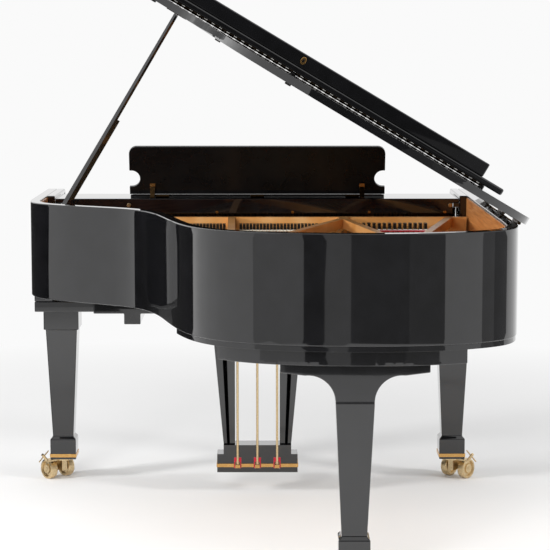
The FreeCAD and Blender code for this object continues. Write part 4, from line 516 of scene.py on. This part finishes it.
# Each wheel is turned from the solid, with a rounded tread, and on both faces a raised rim, a sunk ring and
# a flat hub. The profile gives how deep each ring lies in its face, and its radius.
WHEEL_WIDE, WHEEL_GAP, ROUND_STEPS = .028, .046, 56
FACE_PROFILE = ((.0015, .0062), (.0008, .0075), (.0008, .0150), (.0022, .0165), (.0062, .0175),
                (.0068, .0240), (.0030, .0258), (.0004, .0270), (0, .0285), (.0004, .0318), (.0024, .0346),
                (.0056, .0360))
for name in ("treble", "bass", "tail"):
    spin = next(j for j in frame["joints"] if j["name"] == f"wheels_{name}_spin")
    axle, middle = Vector(spin["axis"]).normalized(), Vector(spin["pos_m"])
    aside = Vector((0, 0, 1)).cross(axle)
    profile = [*FACE_PROFILE, *((WHEEL_WIDE - deep, radius) for deep, radius in reversed(FACE_PROFILE))]
    wheels = bmesh.new()
    for start in (-WHEEL_GAP/2 - WHEEL_WIDE, WHEEL_GAP/2):
        rings = []
        for deep, radius in profile:
            spokes = [aside*math.cos(turn) + Vector((0, 0, math.sin(turn)))
                      for turn in (2*math.pi*step/ROUND_STEPS for step in range(ROUND_STEPS))]
            rings.append([wheels.verts.new(middle + axle*(start + deep) + spoke*radius) for spoke in spokes])
        for ring, after in zip(rings, rings[1:] + rings[:1]):
            for step in range(ROUND_STEPS):
                wheels.faces.new((ring[step], ring[step - 1], after[step - 1], after[step]))
    bmesh.ops.recalc_face_normals(wheels, faces=wheels.faces)
    piece_of(wheels, f"wheels_{name}_turned", cast, f"wheels_{name}", "polished_brass", f"wheels_{name}")


# A pale paper floor that runs out into the white of the studio. Round the piano it is plain paper and keeps
# the soft shadow. Farther off it glows for the camera and for mirrors, and looks as white as the studio.
FLOOR, PLAIN_TO, WHITE_FROM, WHITE = 40, 1.5, 4, linear("#FAFAFA")
floor_mesh = bpy.data.meshes.new("studio_floor")
floor_mesh.from_pydata([(-FLOOR, -FLOOR, 0), (FLOOR, -FLOOR, 0), (FLOOR, FLOOR, 0), (-FLOOR, FLOOR, 0)], [],
                       [(0, 1, 2, 3)])
floor = bpy.data.objects.new("studio_floor", floor_mesh)
paper, tree, skin, here = new_finish("pale_studio_paper", Roughness=.9)
mottle = add(tree, "ShaderNodeTexNoise", {"Vector": here, "Scale": 2}).outputs["Fac"]
add(tree, "ShaderNodeValToRGB", {"Fac": mottle}, skin["Base Color"], [(.3, "#E0E0E0"), (.7, "#E2E2E2")])
ray = add(tree, "ShaderNodeLightPath").outputs
seen = add(tree, "ShaderNodeMath", {0: ray["Is Camera Ray"], 1: ray["Is Glossy Ray"]},
           operation="MAXIMUM").outputs[0]
seen = add(tree, "ShaderNodeMath", {0: seen, 1: ray["Is Transmission Ray"]}, operation="MAXIMUM").outputs[0]
away = add(tree, "ShaderNodeVectorMath", {0: here}, operation="LENGTH").outputs["Value"]
share = add(tree, "ShaderNodeMapRange",
            {"Value": away, "From Min": PLAIN_TO, "From Max": WHITE_FROM, "To Min": 0, "To Max": 1})
share = add(tree, "ShaderNodeMath", {0: share.outputs["Result"], 1: seen}, operation="MULTIPLY").outputs[0]
glow = add(tree, "ShaderNodeEmission", {"Color": WHITE, "Strength": 1})
add(tree, "ShaderNodeMixShader", {0: share, 1: tree.nodes["Principled BSDF"].outputs[0], 2: glow.outputs[0]},
    tree.nodes["Material Output"].inputs["Surface"])
floor_mesh.materials.append(paper)
bpy.context.scene.collection.objects.link(floor)
floor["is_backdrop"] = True

# Flags of grey cloth stand round the piano, seen only in its mirrors, and give the black sides their bands.
# Each is a stretch of a ring between two bearings (0 towards the tail), and how bright its cloth looks.
# Two more are dark: one above the ring, towards the camera, for the lid, and one beside the treble waist.
FLAG_RING, FLAG_TALL, FLAG_STEPS = 4.5, 1.0, 8
RING_FLAGS = ((-95, -72, .25), (-72, -60, .42), (-36, -20, .26), (-20, -1.3, .18), (-1.3, 5, .5),
              (5, 13, .11), (13, 39, .64))
LID_BEARINGS, LID_FLAG_TOP, LID_FLAG_BRIGHT = range(-24, 25, 6), 2.6, .06
WAIST_FLAG, WAIST_FLAG_BRIGHT = [(1.2, -.15), (1.2, -1.79)], .03


def on_ring(bearing):
    """A place on the ring at a bearing in degrees."""
    return FLAG_RING*math.sin(math.radians(bearing)), FLAG_RING*math.cos(math.radians(bearing))


flags = [([on_ring(low + (high - low)*step/FLAG_STEPS) for step in range(FLAG_STEPS + 1)],
          0, FLAG_TALL, bright) for low, high, bright in RING_FLAGS]
flags += [([on_ring(bearing) for bearing in LID_BEARINGS], FLAG_TALL, LID_FLAG_TOP, LID_FLAG_BRIGHT),
          (WAIST_FLAG, 0, FLAG_TALL, WAIST_FLAG_BRIGHT)]
for feet, low, high, bright in flags:
    rim = [(x, y, z) for x, y in feet for z in (low, high)]
    flag_mesh = bpy.data.meshes.new("studio_flag")
    flag_mesh.from_pydata(rim, [], [(2*k, 2*k + 2, 2*k + 3, 2*k + 1) for k in range(len(feet) - 1)])
    cloth = bpy.data.materials.new("grey_flag_cloth")
    cloth.use_nodes = True
    add(cloth.node_tree, "ShaderNodeEmission", {"Color": (1, 1, 1, 1), "Strength": bright},
        cloth.node_tree.nodes["Material Output"].inputs["Surface"])
    flag_mesh.materials.append(cloth)
    flag = bpy.data.objects.new("studio_flag", flag_mesh)
    flag.visible_camera = flag.visible_diffuse = flag.visible_shadow = False
    bpy.context.scene.collection.objects.link(flag)
    flag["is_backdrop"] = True

# The studio round it is white to the camera and to mirrors, and dimmer as a light, so that the softboxes
# can draw the shadows.
AMBIENT = .72
world = bpy.data.worlds.new("white_studio")
bpy.context.scene.world = world
world.use_nodes = True
tree = world.node_tree
ray = add(tree, "ShaderNodeLightPath").outputs
seen = add(tree, "ShaderNodeMath", {0: ray["Is Camera Ray"], 1: ray["Is Glossy Ray"]},
           operation="MAXIMUM").outputs[0]
seen = add(tree, "ShaderNodeMath", {0: seen, 1: ray["Is Transmission Ray"]}, operation="MAXIMUM").outputs[0]
backdrop = tree.nodes["Background"].inputs
add(tree, "ShaderNodeMapRange", {"Value": seen, "To Min": AMBIENT, "To Max": 1}, backdrop["Strength"])
backdrop["Color"].default_value = WHITE

# Two softboxes beside the piano for its shadows, and one over the camera that reaches in to the strings.
# All three look at the middle of the case and do not show in the lacquer.
LIT = Vector((0, 0, .8))
for name, place, width, height, power in (("softbox_treble", (4.6, 1.6, 1.9), .9, .6, 225),
                                          ("softbox_bass", (-4.8, 1.8, 2.1), .9, .6, 180),
                                          ("softbox_over_camera", (1.6, 6.0, 3.2), 3, 2, 340)):
    lamp = bpy.data.lights.new(name, "AREA")
    lamp.shape, lamp.size, lamp.size_y, lamp.energy = "RECTANGLE", width, height, power
    softbox = bpy.data.objects.new(name, lamp)
    softbox.location = place
    softbox.rotation_euler = (LIT - Vector(place)).to_track_quat("-Z", "Y").to_euler()
    softbox.visible_glossy = False
    bpy.context.scene.collection.objects.link(softbox)

# A long lens at standing height behind the tail, fitted to the photograph's edges.
# It looks a little down and is turned by a hair.
lens = bpy.data.cameras.new("camera")
lens.lens, lens.sensor_width, lens.clip_end = 127.6, 36, 200
camera = bpy.data.objects.new("camera", lens)
camera.location = (-.01517, 6.0929, 1.5149)
pitch, yaw = math.radians(6.63), math.radians(-.28)
ahead = Vector((math.sin(yaw)*math.cos(pitch), -math.cos(yaw)*math.cos(pitch), -math.sin(pitch)))
camera.rotation_euler = ahead.to_track_quat("-Z", "Y").to_euler()
bpy.context.scene.collection.objects.link(camera)
bpy.context.scene.camera = camera
bpy.context.scene.view_settings.view_transform = "Standard"

low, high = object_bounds()
